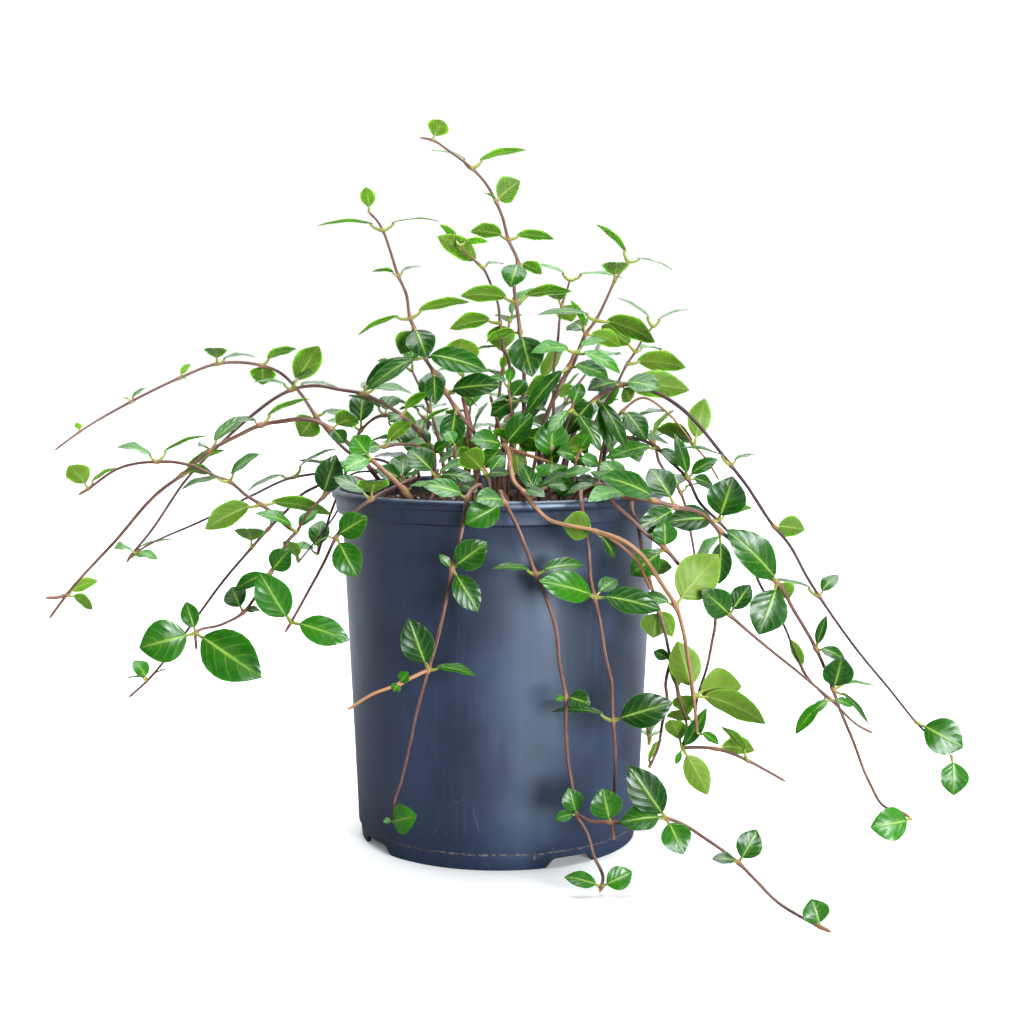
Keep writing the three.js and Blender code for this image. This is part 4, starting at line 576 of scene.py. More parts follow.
# %% Runners and shoots on the far side
FAR_RUNNERS = {  # bearing from +X, foot, crest height, reach, lowest height
    "runner_far_right": (38, 66, 206, 146, 122),
    "runner_far_right_long": (55, 62, 210, 150, 16),
    "runner_far_right_low": (72, 58, 200, 128, 68),
    "runner_far_middle": (87, 57, 214, 137, 8),
    "runner_far_middle_low": (101, 64, 198, 122, 92),
    "runner_far_left_long": (116, 58, 210, 150, 26),
    "runner_far_left": (137, 46, 212, 138, 132),
}
SHOOTS = {  # foot x, y, top x, y, z
    "shoot_back_tall": (-2, 38, 6, 58, 262),
    "shoot_back_right": (22, 44, 52, 62, 240),
    "shoot_back_left": (-28, 28, -46, 50, 236),
    "shoot_back_middle": (12, 30, 24, 44, 226),
    "shoot_back_low_left": (-42, 50, -60, 64, 208),
    "shoot_back_low_middle": (-10, 48, -16, 70, 212),
    "shoot_back_low_right": (40, 38, 56, 62, 214),
}
SEED = 4421
STEM_FOOT = 160
STEM_SOIL_TOP = 173
RIM_RADIUS = 84
FAR_POINTS = 7
FAR_STEM = (1.4, 0.8)
SHOOT_POINTS = 3
SHOOT_STEM = (1.5, 0.7)
FAR_LEAF_LENGTH = (19, 28)
FAR_LEAF_SHAPE = 0.58


def draws(seed):
    """Draws from 0 to 1 by the minimal standard generator, the same on every run."""
    state = seed
    while True:
        state = state * 16807 % 2147483647
        yield state / 2147483647


def unit(vector):
    return vector / np.linalg.norm(vector)


def leaf_pair(out, side, draw, turn):
    """Two opposite leaves. Every second pair is turned a quarter round the stem."""
    flat = turn % 4 == 0
    leaves = []
    for hand in (-1, 1):
        length = FAR_LEAF_LENGTH[0] + (FAR_LEAF_LENGTH[1] - FAR_LEAF_LENGTH[0]) * next(draw)
        along = 0.45 if flat else 0.8 * (1 if hand > 0 else 0.35)
        rise = 0.25 + 0.3 * next(draw) - (0 if flat else 0.35 * hand)
        across = 0.82 if flat else 0.35
        tip = unit(np.array([0, 0, rise]) + side * across * hand + out * along) * length
        leaves.append([*tip, 30 * (next(draw) - 0.5), length * FAR_LEAF_SHAPE])
    return leaves


def bearing_ways(angle):
    out = np.array([math.cos(angle), math.sin(angle), 0])
    return out, np.array([-out[1], out[0], 0])


def far_runner(name, draw):
    bearing, foot, crest, reach, low = FAR_RUNNERS[name]
    out, side = bearing_ways(math.radians(bearing))
    route = [[*(out * foot)[:2], STEM_FOOT], [*(out * foot)[:2], STEM_SOIL_TOP],
             [*(out * (foot + 8))[:2], crest - 12]]
    for i in range(FAR_POINTS):
        share = i / (FAR_POINTS - 1)
        spot = out * (RIM_RADIUS + (reach - RIM_RADIUS) * share) + side * (next(draw) - 0.5) * 9
        spot[2] = crest + (low - crest) * share * share
        route.append([*spot] + (leaf_pair(out, side, draw, i) if i % 2 == 0 else []))
    return {"name": name, "thick": FAR_STEM, "bark": 0, "routes": [route]}


def back_shoot(name, draw):
    x, y, top_x, top_y, top_z = SHOOTS[name]
    out, side = bearing_ways(math.atan2(top_y - y, top_x - x))
    route = [[x, y, STEM_FOOT], [x, y, STEM_SOIL_TOP]]
    for i in range(1, SHOOT_POINTS + 1):
        share = i / SHOOT_POINTS
        lean = share * share
        route.append([x + (top_x - x) * lean, y + (top_y - y) * lean,
                      STEM_SOIL_TOP + (top_z - STEM_SOIL_TOP) * share]
                     + leaf_pair(out, side, draw, i))
    return {"name": name, "thick": SHOOT_STEM, "bark": 0, "routes": [route]}


draw = draws(SEED)
runners = RUNNERS + [far_runner(name, draw) for name in FAR_RUNNERS] \
    + [back_shoot(name, draw) for name in SHOOTS]
print("runners and shoots:", len(runners))

# %% [markdown]
# ## Smooth stems
# A stem bends evenly between its joints. A cubic curve through the points, with its direction at
# each point weighted by the lengths on both sides, gives that bend and never swings out wide.

# %% Curves through the points
def route_points(route):
    return np.array([row[:3] for row in route], float)


def smooth_route(points, spacing):
    """Points about that far apart on a smooth curve through a route, and the place of each joint."""
    steps = np.diff(points, axis=0)
    spans = np.linalg.norm(steps, axis=1)
    steps = steps / spans[:, None]
    ways = [steps[0]]
    for i in range(1, len(points) - 1):
        before, after = spans[i - 1], spans[i]
        ways.append((steps[i - 1] * after + steps[i] * before) / (before + after))
    ways.append(steps[-1])
    if points[1][2] == STEM_SOIL_TOP:
        ways[1] = steps[0]
    curve = []
    joints = []
    for i, span in enumerate(spans):
        joints.append(len(curve))
        pieces = math.ceil(span / spacing)
        for t in np.arange(pieces) / pieces:
            near = 2 * t ** 3 - 3 * t * t + 1
            curve.append(near * points[i] + (1 - near) * points[i + 1]
                         + (t ** 3 - 2 * t * t + t) * span * ways[i]
                         + (t ** 3 - t * t) * span * ways[i + 1])
    joints.append(len(curve))
    curve.append(points[-1])
    return np.array(curve), joints


def length_along(curve):
    return np.concatenate([[0], np.cumsum(np.linalg.norm(np.diff(curve, axis=0), axis=1))])


def route_thickness(runner, index):
    """A branch starts thinner than the foot of its runner."""
    foot, tip = runner["thick"]
    return (foot, tip) if index == 0 else (tip + (foot - tip) * 0.55, tip)


# %% [markdown]
# ## Room for every leaf
# In the real plant, leaves slide past each other as they grow. Here a leaf keeps its given place if
# nothing is there yet. If something is, slightly smaller, turned or shifted places are tried in
# order, and the first clear one is taken. The smallest leaves come last. Space is cut into small
# cells, so that each test looks only at what is near.

# %% The frame of one leaf, and the search for its place
LEAF_FOLD = 0.16
LEAF_ARCH = 0.06
SMALL_LEAF = 9
PETIOLE_SHARE = 0.22
PETIOLE_MOST = 6
SPACING = 2
CELL = 4
LEAF_CLEARANCE = 2.9
STEM_CLEARANCE = 1.3
SAMPLE_SLACK = 3
OWN_NODE_FREE = 9
STATIONS = [0, 0.2, 0.45, 0.74, 1]
HALF_WIDTHS = [0.1, 0.76, 1, 0.74, 0]


class Leaf:
    """Where one leaf sits: its joint, the ends of its blade, and the ways across and up."""

    def __init__(self, node, row):
        offset = np.array(row[:3], float)
        self.length = np.linalg.norm(offset)
        self.way = offset / self.length
        turn = math.radians(row[3])
        wanted = np.array([0, -math.sin(turn), math.cos(turn)])
        upper = wanted - self.way * (wanted @ self.way)
        if np.linalg.norm(upper) < 0.2:
            upper = np.array([1, 0, 0]) - self.way * self.way[0]
        upper = unit(upper)
        petiole = min(PETIOLE_MOST, PETIOLE_SHARE * self.length)
        self.node = np.array(node, float)
        self.start = self.node + self.way * 0.8 * petiole + upper * 0.5 * petiole
        self.tip = self.node + offset
        self.span = np.linalg.norm(self.tip - self.start)
        self.blade = (self.tip - self.start) / self.span
        self.side = unit(np.cross(upper, self.blade))
        self.normal = np.cross(self.blade, self.side)
        self.width = row[4]

    def lift(self, t, reach):
        """Height above the blade's chord, at a share t of its length and a reach across."""
        return LEAF_ARCH * self.span * np.sin(np.pi * t) + LEAF_FOLD * np.abs(reach)

    def samples(self):
        """Points about 2 mm apart that stand for the blade where it might meet something."""
        rows = max(3, math.ceil(self.span / SPACING))
        spots = []
        for i in range(1, rows + 1):
            half = self.width / 2 * np.interp(i / rows, STATIONS, HALF_WIDTHS)
            columns = max(1, math.ceil(half / SPACING))
            spots += [(i / rows, half * j / columns) for j in range(-columns, columns + 1)]
        t, reach = np.array(spots).T
        return (self.start + np.outer(t * self.span, self.blade) + np.outer(reach, self.side)
                + np.outer(self.lift(t, reach), self.normal)).tolist()


class Crowd:
    """Points to keep clear of, found by the cell of space that they lie in."""

    def __init__(self):
        self.cells = {}

    def add(self, point, reach, owner):
        x, y, z = (math.floor(c / CELL) for c in point)
        entry = (*point, reach * reach, owner)
        for i in (x - 1, x, x + 1):
            for j in (y - 1, y, y + 1):
                for k in (z - 1, z, z + 1):
                    self.cells.setdefault((i, j, k), []).append(entry)

    def meets(self, point, owner, node):
        x, y, z = point
        near = self.cells.get((math.floor(x / CELL), math.floor(y / CELL), math.floor(z / CELL)), ())
        at_home = math.dist(point, node) < OWN_NODE_FREE
        for a, b, c, reach, other in near:
            if at_home and other == owner:
                continue
            if (x - a) ** 2 + (y - b) ** 2 + (z - c) ** 2 < reach:
                return True
        return False


BODY_FOOT_RADIUS = 71.7
BODY_TOP_RADIUS = 79
SEAM_HEIGHT = 8
BODY_SPAN = 158.5
FLOOR_MARGIN = 1.5
OVER_RIM = 180
INSIDE_RIM = 75
OVER_SOIL = 173.5
BAND_FOOT = 163.5


def body_radius(z):
    share = max(0, z - SEAM_HEIGHT) / BODY_SPAN
    return BODY_FOOT_RADIUS + (BODY_TOP_RADIUS - BODY_FOOT_RADIUS) * share


def meets_pot(point):
    """Whether a point of a leaf lies in the pot, in the soil or in the floor, or nearly so."""
    x, y, z = point
    r = math.hypot(x, y)
    if z < FLOOR_MARGIN:
        return True
    if z > OVER_RIM or (r < INSIDE_RIM and z > OVER_SOIL):
        return False
    return r < (RIM_RADIUS + 2 if z > BAND_FOOT else body_radius(z) + 2.5)


def bent_ways(row):
    """The ways in which a leaf may be bent to find room, nearest to its given place first."""
    for scale in (1, 0.88, 0.76, 0.64):
        for turn in (0, 20, -20, 40, -40):
            for shift in (0, 5, -5, 10, -10, 15, -15):
                tip = [row[0], row[1] + shift, row[2]]
                yield [*(c * scale for c in tip), row[3] + turn, row[4] * scale]


def settle(node, row, runner, crowd):
    """The first clear place for a leaf, or None."""
    for way in bent_ways(row):
        leaf = Leaf(node, way)
        samples = leaf.samples()
        if not any(meets_pot(p) or crowd.meets(p, runner["name"], node) for p in samples):
            for p in samples:
                crowd.add(p, LEAF_CLEARANCE, runner["name"])
            return leaf
    return None


crowd = Crowd()
for runner in runners:
    for index, route in enumerate(runner["routes"]):
        curve, joints = smooth_route(route_points(route), SPACING)
        along = length_along(curve)
        foot, tip = route_thickness(runner, index)
        for point, share in zip(curve.tolist(), along / along[-1]):
            clear = foot + (tip - foot) * share + STEM_CLEARANCE
            crowd.add(point, math.sqrt(clear ** 2 + SAMPLE_SLACK), runner["name"])

lost = 0
for small in (False, True):
    for runner in runners:
        placed = runner.setdefault("leaves", [])
        for route in runner["routes"]:
            for place, row in enumerate(route):
                for given in row[3:]:
                    if (math.hypot(*given[:3]) <= SMALL_LEAF) is not small:
                        continue
                    leaf = settle(row[:3], given, runner, crowd)
                    if leaf is None:
                        lost += 1
                        continue
                    leaf.age = 1 - place / (len(route) - 1)
                    placed.append(leaf)
print("leaves:", sum(len(r["leaves"]) for r in runners), "and", lost, "without room")

# %% [markdown]
# ## Helpers for modelling by hand
# In edit mode an operator acts on what is selected. Selecting by position in code is what clicking
# is by hand, so each step below says in one line which points it takes.

# %% Selecting, finishing and handing in a piece
def pick(shape, wanted, kind="verts"):
    """Selects in edit mode the points, edges or faces whose middle is where wanted says."""
    bpy.ops.mesh.select_mode(type={"verts": "VERT", "edges": "EDGE", "faces": "FACE"}[kind])
    bpy.ops.mesh.select_all(action="DESELECT")
    form = bmesh.from_edit_mesh(shape.data)
    for item in getattr(form, kind):
        corners = [item.co] if kind == "verts" else [v.co for v in item.verts]
        item.select_set(wanted(sum(corners, Vector()) / len(corners)))
    form.select_flush_mode()
    bmesh.update_edit_mesh(shape.data)


def activate(shape):
    """Makes a shape the active one and the only one selected."""
    deselect_all()
    shape.select_set(True)
    bpy.context.view_layer.objects.active = shape


def start_edit(shape):
    activate(shape)
    bpy.ops.object.mode_set(mode="EDIT")


def end_edit():
    bpy.ops.object.mode_set(mode="OBJECT")


def modify(shape, kind, **settings):
    """Adds a modifier to a shape and applies it."""
    activate(shape)
    modifier = shape.modifiers.new(kind.lower(), kind)
    for name, value in settings.items():
        setattr(modifier, name, value)
    bpy.ops.object.modifier_apply(modifier=modifier.name)


def join(shapes):
    """Joins shapes into the first one."""
    deselect_all()
    for shape in shapes:
        shape.select_set(True)
    bpy.context.view_layer.objects.active = shapes[0]
    bpy.ops.object.join()
    return shapes[0]


def smooth(shape, angle):
    activate(shape)
    bpy.ops.object.shade_smooth_by_angle(angle=math.radians(angle))


def copy_of(master, name):
    made = master.copy()
    made.data = master.data.copy()
    made.name = name
    bpy.context.scene.collection.objects.link(made)
    return made


def paint_over(shape, paint):
    """Leaves that paint's material on a shape and no other."""
    shape.data.materials.clear()
    shape.data.materials.append(paint.material)


def hand_in(shape, slot, *nodes):
    """A finished piece rides on the one body and stands for its plain nodes. Its slot is not used. Says
    how many triangles it has."""
    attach(shape, "root")
    if nodes:
        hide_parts(*nodes)
    return sum(len(p.vertices) - 2 for p in shape.data.polygons)


# %% [markdown]
# ## The nursery pot
# A blow-moulded container: a thin wall that widens upwards, a rolled lip over a plain band, and a
# seam just above a base ring that is notched so that water can run off. It is turned on a lathe
# here: its outline is drawn point by point, spun round the axis, and the notches and drain holes are
# cut with shapes of their own. A bevel then softens what the mould would have softened.

# %% Pot
POT_OUTLINE = [
    (0, 7), (68, 7), (68, 0.4), (68.4, 0), (69.8, 0), (70.1, 0.4), (70.8, 7.2), (70.9, 7.7),
    (71.5, 7.8), (71.8, 8.4), (72.6, 28), (75.2, 84), (78.2, 150), (78.95, 165.2), (79.4, 165.9),
    (81.3, 166.3), (81.8, 166.8), (82.0, 168.2), (82.15, 172.4), (82.4, 173), (83.5, 173.5),
    (84.0, 174.1), (84.15, 175.2), (84.05, 176.5), (83.5, 177.5), (82.6, 178), (81.4, 177.95),
    (80.7, 177.4), (80.45, 176.5), (80.3, 168.2), (79.8, 167), (77.6, 165.6), (77.3, 164.8),
    (73.6, 84), (70.5, 9.6), (69.8, 9), (0, 9),
]
LATHE_STEPS = 120
NOTCH_BEARINGS = (30, 120, 210, 300)
NOTCH_PLACE = (0, -66, 1)
NOTCH_SIZE = (31, 20, 7)
NOTCH_TOP_SHARE = 0.62
NOTCH_ROUND = 1.6
DRAIN_BEARINGS = (45, 135, 225, 315)
DRAIN_CIRCLE = 50
DRAIN_RADIUS = 5
FLOOR_MIDDLE = 8


def cut(shape, tool):
    """Takes the tool's volume out of a shape and throws the tool away."""
    modify(shape, "BOOLEAN", operation="DIFFERENCE", object=tool, solver="EXACT")
    bpy.data.objects.remove(tool)


deselect_all()
bpy.ops.mesh.primitive_plane_add(size=MM, location=(0, 0, POT_OUTLINE[0][1] * MM))
pot = bpy.context.object
pot.name = "nursery_pot"
bpy.ops.object.transform_apply(location=True, rotation=True, scale=True)
start_edit(pot)
bpy.ops.mesh.merge(type="CENTER")
bpy.ops.mesh.select_all(action="SELECT")
for (r0, z0), (r1, z1) in zip(POT_OUTLINE, POT_OUTLINE[1:]):
    bpy.ops.mesh.extrude_vertices_move(
        TRANSFORM_OT_translate={"value": ((r1 - r0) * MM, 0, (z1 - z0) * MM)})
bpy.ops.mesh.select_all(action="SELECT")
bpy.ops.mesh.spin(steps=LATHE_STEPS, angle=2 * math.pi, center=(0, 0, 0), axis=(0, 0, 1))
bpy.ops.mesh.select_all(action="SELECT")
bpy.ops.mesh.remove_doubles(threshold=0.01 * MM)
bpy.ops.mesh.normals_make_consistent(inside=False)
end_edit()

for bearing in NOTCH_BEARINGS:
    deselect_all()
    bpy.ops.mesh.primitive_cube_add(size=1, location=[c * MM for c in NOTCH_PLACE],
                                    scale=[c * MM for c in NOTCH_SIZE])
    notch = bpy.context.object
    bpy.ops.object.transform_apply(location=True, rotation=True, scale=True)
    start_edit(notch)
    pick(notch, lambda at: at.z > 2 * MM)
    bpy.ops.transform.resize(value=(NOTCH_TOP_SHARE, 1, 1))
    pick(notch, lambda at: at.z > 2 * MM and abs(at.y - NOTCH_PLACE[1] * MM) < MM, "edges")
    bpy.ops.mesh.bevel(offset=NOTCH_ROUND * MM, segments=4)
    bpy.ops.mesh.select_all(action="SELECT")
    bpy.ops.transform.rotate(value=-math.radians(bearing), orient_axis="Z",
                             center_override=(0, 0, 0))
    bpy.ops.mesh.normals_make_consistent(inside=False)
    end_edit()
    cut(pot, notch)

drains = [(DRAIN_CIRCLE * math.cos(math.radians(b)), DRAIN_CIRCLE * math.sin(math.radians(b)))
          for b in DRAIN_BEARINGS]
for x, y in drains + [(0, 0)]:
    deselect_all()
    bpy.ops.mesh.primitive_cylinder_add(
        vertices=28, radius=DRAIN_RADIUS * MM, depth=8 * MM, location=(x * MM, y * MM, FLOOR_MIDDLE * MM))
    cut(pot, bpy.context.object)

modify(pot, "BEVEL", width=0.25 * MM, segments=2, limit_method="ANGLE",
       angle_limit=math.radians(38))
smooth(pot, 35)
print("pot:", hand_in(pot, "pot", "pot"), "triangles")

# %% [markdown]
# ### Pot plastic
# Recycled black plastic is never quite black: it is a dark blue-grey with faint cloudy stains, pale
# dust, fine upright rubs and, near the foot, curved scratches from the potting bench. Potting sand
# sticks in the seam. All of this is low in contrast, so the patterns only nudge the colour and the
# roughness.

# %% Pot plastic
SEAM_PLACE = 7.9

plastic = Paint("dark pot plastic", Specular_IOR_Level=1.0, Specular_Tint=(0.68, 0.83, 1, 1))
here = plastic.place()
height = plastic.part(here, "Z")
clouds = plastic.noise(38, 3, 0.55, squash=(1, 1, 0.7))
rubs = plastic.noise(2.2, 3, 0.7, squash=(1, 1, 0.05))
grit = plastic.noise(0.7, 1, 0.5)
dust = grit.step(0.74, 0.80)
arcs = plastic.node("TexNoise", None, {
    "Vector": plastic.node("VectorMath", {"operation": "MULTIPLY"}, {0: here, 1: (1, 1, 0.6)}),
    "Scale": 1 / (26 * MM), "Detail": 0.0, "Distortion": 0.6})
scratch = abs(arcs - 0.5).step(0.004, 0.0) * plastic.noise(7, 2).step(0.5, 0.62)
low = height.step(70 * MM, 8 * MM)
seam = abs(height - SEAM_PLACE * MM).step(0.9 * MM, 0.2 * MM) * plastic.noise(1.6, 2, 0.6).step(0.45, 0.6)
body = plastic.mix(clouds.step(0.35, 0.7), (0.009, 0.012, 0.028), (0.018, 0.026, 0.062))
body = plastic.mix(rubs.step(0.5, 0.85) * 0.35, body, (0.055, 0.070, 0.120))
# Painted light: the body is painted lighter and bluer towards the foot.
body = plastic.mix(low * 0.25, body, (0.022, 0.040, 0.085))
body = plastic.mix(dust * 0.22, body, (0.20, 0.22, 0.24))
body = plastic.mix(scratch * low * 0.5, body, (0.22, 0.25, 0.30))
plastic.feed("Base Color", plastic.mix(seam * 0.55, body, (0.30, 0.24, 0.16)))
plastic.feed("Roughness", clouds.step(0.3, 0.75, 0.34, 0.46) + rubs * 0.12 + seam * 0.3)
plastic.bump(rubs * 0.25 + clouds * 0.6 + grit * 0.08, 0.25, 0.35)
paint_over(pot, plastic)

# %% [markdown]
# ## The soil
# Under the leaves lies a dark potting mix, a little below the rim, with crumbs of bark and a few
# white grains of perlite. The plug starts as a fine flat grid. It is trimmed round, drawn down to
# the pot's floor and roughened on top. The crumbs are small rocks of two kinds, each modelled once
# and scattered with seeded draws.

# %% Soil plug
SOIL_TOP = 169.5
SOIL_RADIUS = 75.6
SOIL_EDGE = 6
SOIL_DEPTH = 154
SOIL_FOOT_SHARE = 0.92

deselect_all()
bpy.ops.mesh.primitive_grid_add(x_subdivisions=72, y_subdivisions=72, size=153 * MM,
                                location=(0, 0, SOIL_TOP * MM))
soil = bpy.context.object
soil.name = "potting_mix"
bpy.ops.object.transform_apply(location=True, rotation=True, scale=True)
start_edit(soil)
pick(soil, lambda at: math.hypot(at.x, at.y) > SOIL_RADIUS * MM)
bpy.ops.mesh.delete(type="VERT")
bpy.ops.mesh.select_all(action="DESELECT")
bpy.ops.mesh.select_mode(type="EDGE")
bpy.ops.mesh.select_non_manifold()
bpy.ops.mesh.extrude_edges_move(TRANSFORM_OT_translate={"value": (0, 0, -SOIL_EDGE * MM)})
bpy.ops.mesh.extrude_edges_move(TRANSFORM_OT_translate={"value": (0, 0, -SOIL_DEPTH * MM)})
bpy.ops.transform.resize(value=(SOIL_FOOT_SHARE, SOIL_FOOT_SHARE, 1))
bpy.ops.mesh.edge_face_add()
bpy.ops.mesh.select_all(action="SELECT")
bpy.ops.mesh.normals_make_consistent(inside=False)
end_edit()
lumps = bpy.data.textures.new("lumps", "CLOUDS")
lumps.noise_scale = 5 * MM
lumps.noise_depth = 3
deselect_all()
top_only = soil.vertex_groups.new(name="top")
top_only.add([v.index for v in soil.data.vertices if v.co.z > 168 * MM], 1, "REPLACE")
modify(soil, "DISPLACE", texture=lumps, texture_coords="LOCAL", direction="Z",
       strength=5 * MM, mid_level=0.4, vertex_group="top")
smooth(soil, 60)

humus = Paint("potting mix", Roughness=0.95, Specular_IOR_Level=0.2)
fibre = humus.noise(1.3, 4, 0.7)
patch = humus.noise(7, 3, 0.6)
ground = humus.mix(fibre.step(0.35, 0.7), (0.006, 0.004, 0.003), (0.045, 0.028, 0.018))
ground = humus.mix(patch.step(0.5, 0.7) * 0.5, ground, (0.075, 0.045, 0.027))
humus.feed("Base Color", ground)
humus.bump(fibre + patch * 0.5, 1.2, 0.8)
paint_over(soil, humus)
print("soil:", hand_in(soil, "soil", "soil"), "triangles")


# %% Bark crumbs and perlite
CRUMB_REACH = 72
STEM_ROOM = 4.5


def crumb(name, size, points):
    """A rough little rock: a ball with a few points pulled out, then stretched to its size."""
    deselect_all()
    bpy.ops.mesh.primitive_ico_sphere_add(subdivisions=1, radius=0.5 * MM, location=(0, 0, 0))
    rock = bpy.context.object
    rock.name = name
    start_edit(rock)
    for way in points:
        pick(rock, lambda at: at.dot(Vector(way)) > 0.3 * MM)
        bpy.ops.transform.resize(value=(1.25, 0.9, 1.1))
    bpy.ops.mesh.select_all(action="SELECT")
    bpy.ops.transform.resize(value=size)
    end_edit()
    return rock


def scatter(master, count, sizes, seed):
    """Copies of a crumb all over the soil, clear of the stems, turned and sized by seeded draws."""
    chance = random.Random(seed)
    stems = [r["routes"][0][0][:2] for r in runners]
    copies = []
    while len(copies) < count:
        r, angle = CRUMB_REACH * math.sqrt(chance.random()), 2 * math.pi * chance.random()
        x, y = r * math.cos(angle), r * math.sin(angle)
        if any(math.hypot(x - a, y - b) < STEM_ROOM for a, b in stems):
            continue
        at = soil.ray_cast((x * MM, y * MM, 1), (0, 0, -1))[1]
        made = copy_of(master, master.name + "_copy")
        turn = Vector([chance.uniform(-1, 1) for _ in range(3)]).to_track_quat("X", "Z").to_matrix()
        made.data.transform((turn * chance.uniform(*sizes)).to_4x4())
        made.data.transform(Matrix.Translation(at))
        copies.append(made)
    bpy.data.objects.remove(master)
    return join(copies)


bark_bits = scatter(crumb("bark_crumbs", (3.2, 1.5, 1.1), [(1, 0, 0), (0, 1, 0.5)]),
                    170, (0.8, 2.2), 5)
bark_bits.name = "bark_crumbs"
white_bits = scatter(crumb("perlite", (1.5, 1.3, 1.2), [(0, 1, 0), (0.5, -1, 0.5)]),
                     55, (0.7, 1.6), 6)
white_bits.name = "perlite"
crumb_paint = Paint("bark crumbs", Roughness=0.9)
crumb_paint.feed("Base Color", crumb_paint.mix(
    crumb_paint.noise(9, 2).step(0.35, 0.65), (0.030, 0.015, 0.008), (0.15, 0.075, 0.035)))
crumb_paint.bump(crumb_paint.noise(0.7, 3, 0.7), 0.5, 0.6)
white_paint = Paint("perlite grains", Roughness=0.85)
white_paint.feed("Base Color", white_paint.mix(
    white_paint.noise(1.5, 3), (0.45, 0.43, 0.39), (0.78, 0.77, 0.73)))
for bits, paint in ((bark_bits, crumb_paint), (white_bits, white_paint)):
    paint_over(bits, paint)
    smooth(bits, 30)
    print(bits.name + ":", hand_in(bits, "soil"), "triangles")

# %% [markdown]
# ## Stems
# The runners are wiry and woody: hardly thicker than a match, with a swollen joint wherever leaves
# sit and a slight taper towards the tip. A curve with a round bevel gives the tube and is then made
# a mesh. Between the joints its radius is a tenth to a third below that of the solid stem. Each
# point of the bark keeps some facts for its paint: how far along the stem it lies, on which side of
# it, so that streaks run lengthwise, and how near it is to a joint.

# %% Stems
STEM_SPACING = 2.2
KNOT_SWELL = 0.6
KNOT_REACH = 1.7
KNOT_PALE = 0.6
TAN_BRANCHES = {("runner_front_left", 1)}
SLIMNESS = {0: 0.8, 1: 0.75, 2: 0.66, 3: 0.8, 4: 0.9}  # by the runner's bark


def stem_curve(name):
    shape = bpy.data.curves.new(name, "CURVE")
    shape.dimensions = "3D"
    shape.bevel_depth = MM
    shape.bevel_resolution = 2
    shape.use_fill_caps = True
    return shape


def stem_radii(along, joints, route, foot, tip, draw):
    """Tapering, a little uneven, and swollen at each joint that bears leaves. Also says how near
    each point is to such a joint, from 0 to 1."""
    radii = foot + (tip - foot) * along / along[-1]
    radii = radii * np.array([1 + 0.05 * (draw.random() - 0.5) for _ in radii])
    knots = np.zeros(len(radii))
    for joint, row in zip(joints, route):
        if len(row) > 3 or joint == joints[-1]:
            knots = np.maximum(knots, np.exp(-((along - along[joint]) / KNOT_REACH) ** 2))
    radii = radii * (1 + KNOT_SWELL * knots)
    radii[-1] *= 0.45
    return radii, knots


def grow_stems(runner):
    draw = random.Random(runner["name"])
    shape = stem_curve(runner["name"] + "_stems")
    spots, facts = [], []
    for index, route in enumerate(runner["routes"]):
        curve, joints = smooth_route(route_points(route), STEM_SPACING)
        along = length_along(curve)
        radii, knots = stem_radii(along, joints, route, *route_thickness(runner, index), draw)
        spline = shape.splines.new("POLY")
        spline.points.add(len(curve) - 1)
        spline.points.foreach_set("co", np.column_stack([curve * MM, np.ones(len(curve))]).ravel())
        spline.points.foreach_set("radius", radii * SLIMNESS[runner["bark"]])
        pale = np.ones(len(curve)) if (runner["name"], index) in TAN_BRANCHES else knots * KNOT_PALE
        spots += curve.tolist()
        facts += zip(along, along / along[-1], pale)
    stems = bpy.data.objects.new(shape.name, shape)
    bpy.context.scene.collection.objects.link(stems)
    activate(stems)
    bpy.ops.object.convert(target="MESH")
    start_edit(stems)
    bpy.ops.mesh.select_all(action="SELECT")
    bpy.ops.mesh.remove_doubles(threshold=0.005 * MM)
    bpy.ops.mesh.normals_make_consistent(inside=False)
    end_edit()
    tree = KDTree(len(spots))
    for i, spot in enumerate(spots):
        tree.insert(Vector(spot) * MM, i)
    tree.balance()
    grain, ages, pales = [], [], []
    for vertex in stems.data.vertices:
        axis, i, _ = tree.find(vertex.co)
        out = (vertex.co - axis).normalized()
        reach, age, pale = facts[i]
        grain.append([out.x, out.y, out.z + reach / 22])
        ages.append(age)
        pales.append(pale)
    stems.data.attributes.new("grain", "FLOAT_VECTOR", "POINT").data.foreach_set(
        "vector", np.array(grain).ravel())
    for name, values in (("age", ages), ("pale", pales)):
        stems.data.attributes.new(name, "FLOAT", "POINT").data.foreach_set("value", values)
    return stems


# %% [markdown]
# ### Bark
# Most runners are brown-purple with fine lengthwise streaks and pale pinkish streaks, which are partly
# a waxy bloom and partly a painted highlight. Six are almost black, four are tan, and one cut stub is
# red. One recipe makes them all from three colours each: the ground, the streak and the bloom, which
# also serves as the painted highlight. Tips are redder. Joints are paler, and so is one bare side
# branch at the front.

# %% Bark paints
BARKS = {  # ground, streak, bloom and painted highlight
    0: ((0.070, 0.026, 0.018), (0.22, 0.105, 0.075), (0.44, 0.28, 0.22)),
    1: ((0.045, 0.018, 0.015), (0.15, 0.070, 0.052), (0.30, 0.18, 0.15)),
    2: ((0.026, 0.010, 0.012), (0.085, 0.036, 0.036), (0.20, 0.11, 0.11)),
    3: ((0.17, 0.075, 0.032), (0.40, 0.20, 0.095), (0.56, 0.36, 0.22)),
    4: ((0.12, 0.030, 0.022), (0.28, 0.080, 0.055), (0.36, 0.18, 0.14)),
}
TAN = (0.46, 0.22, 0.10)


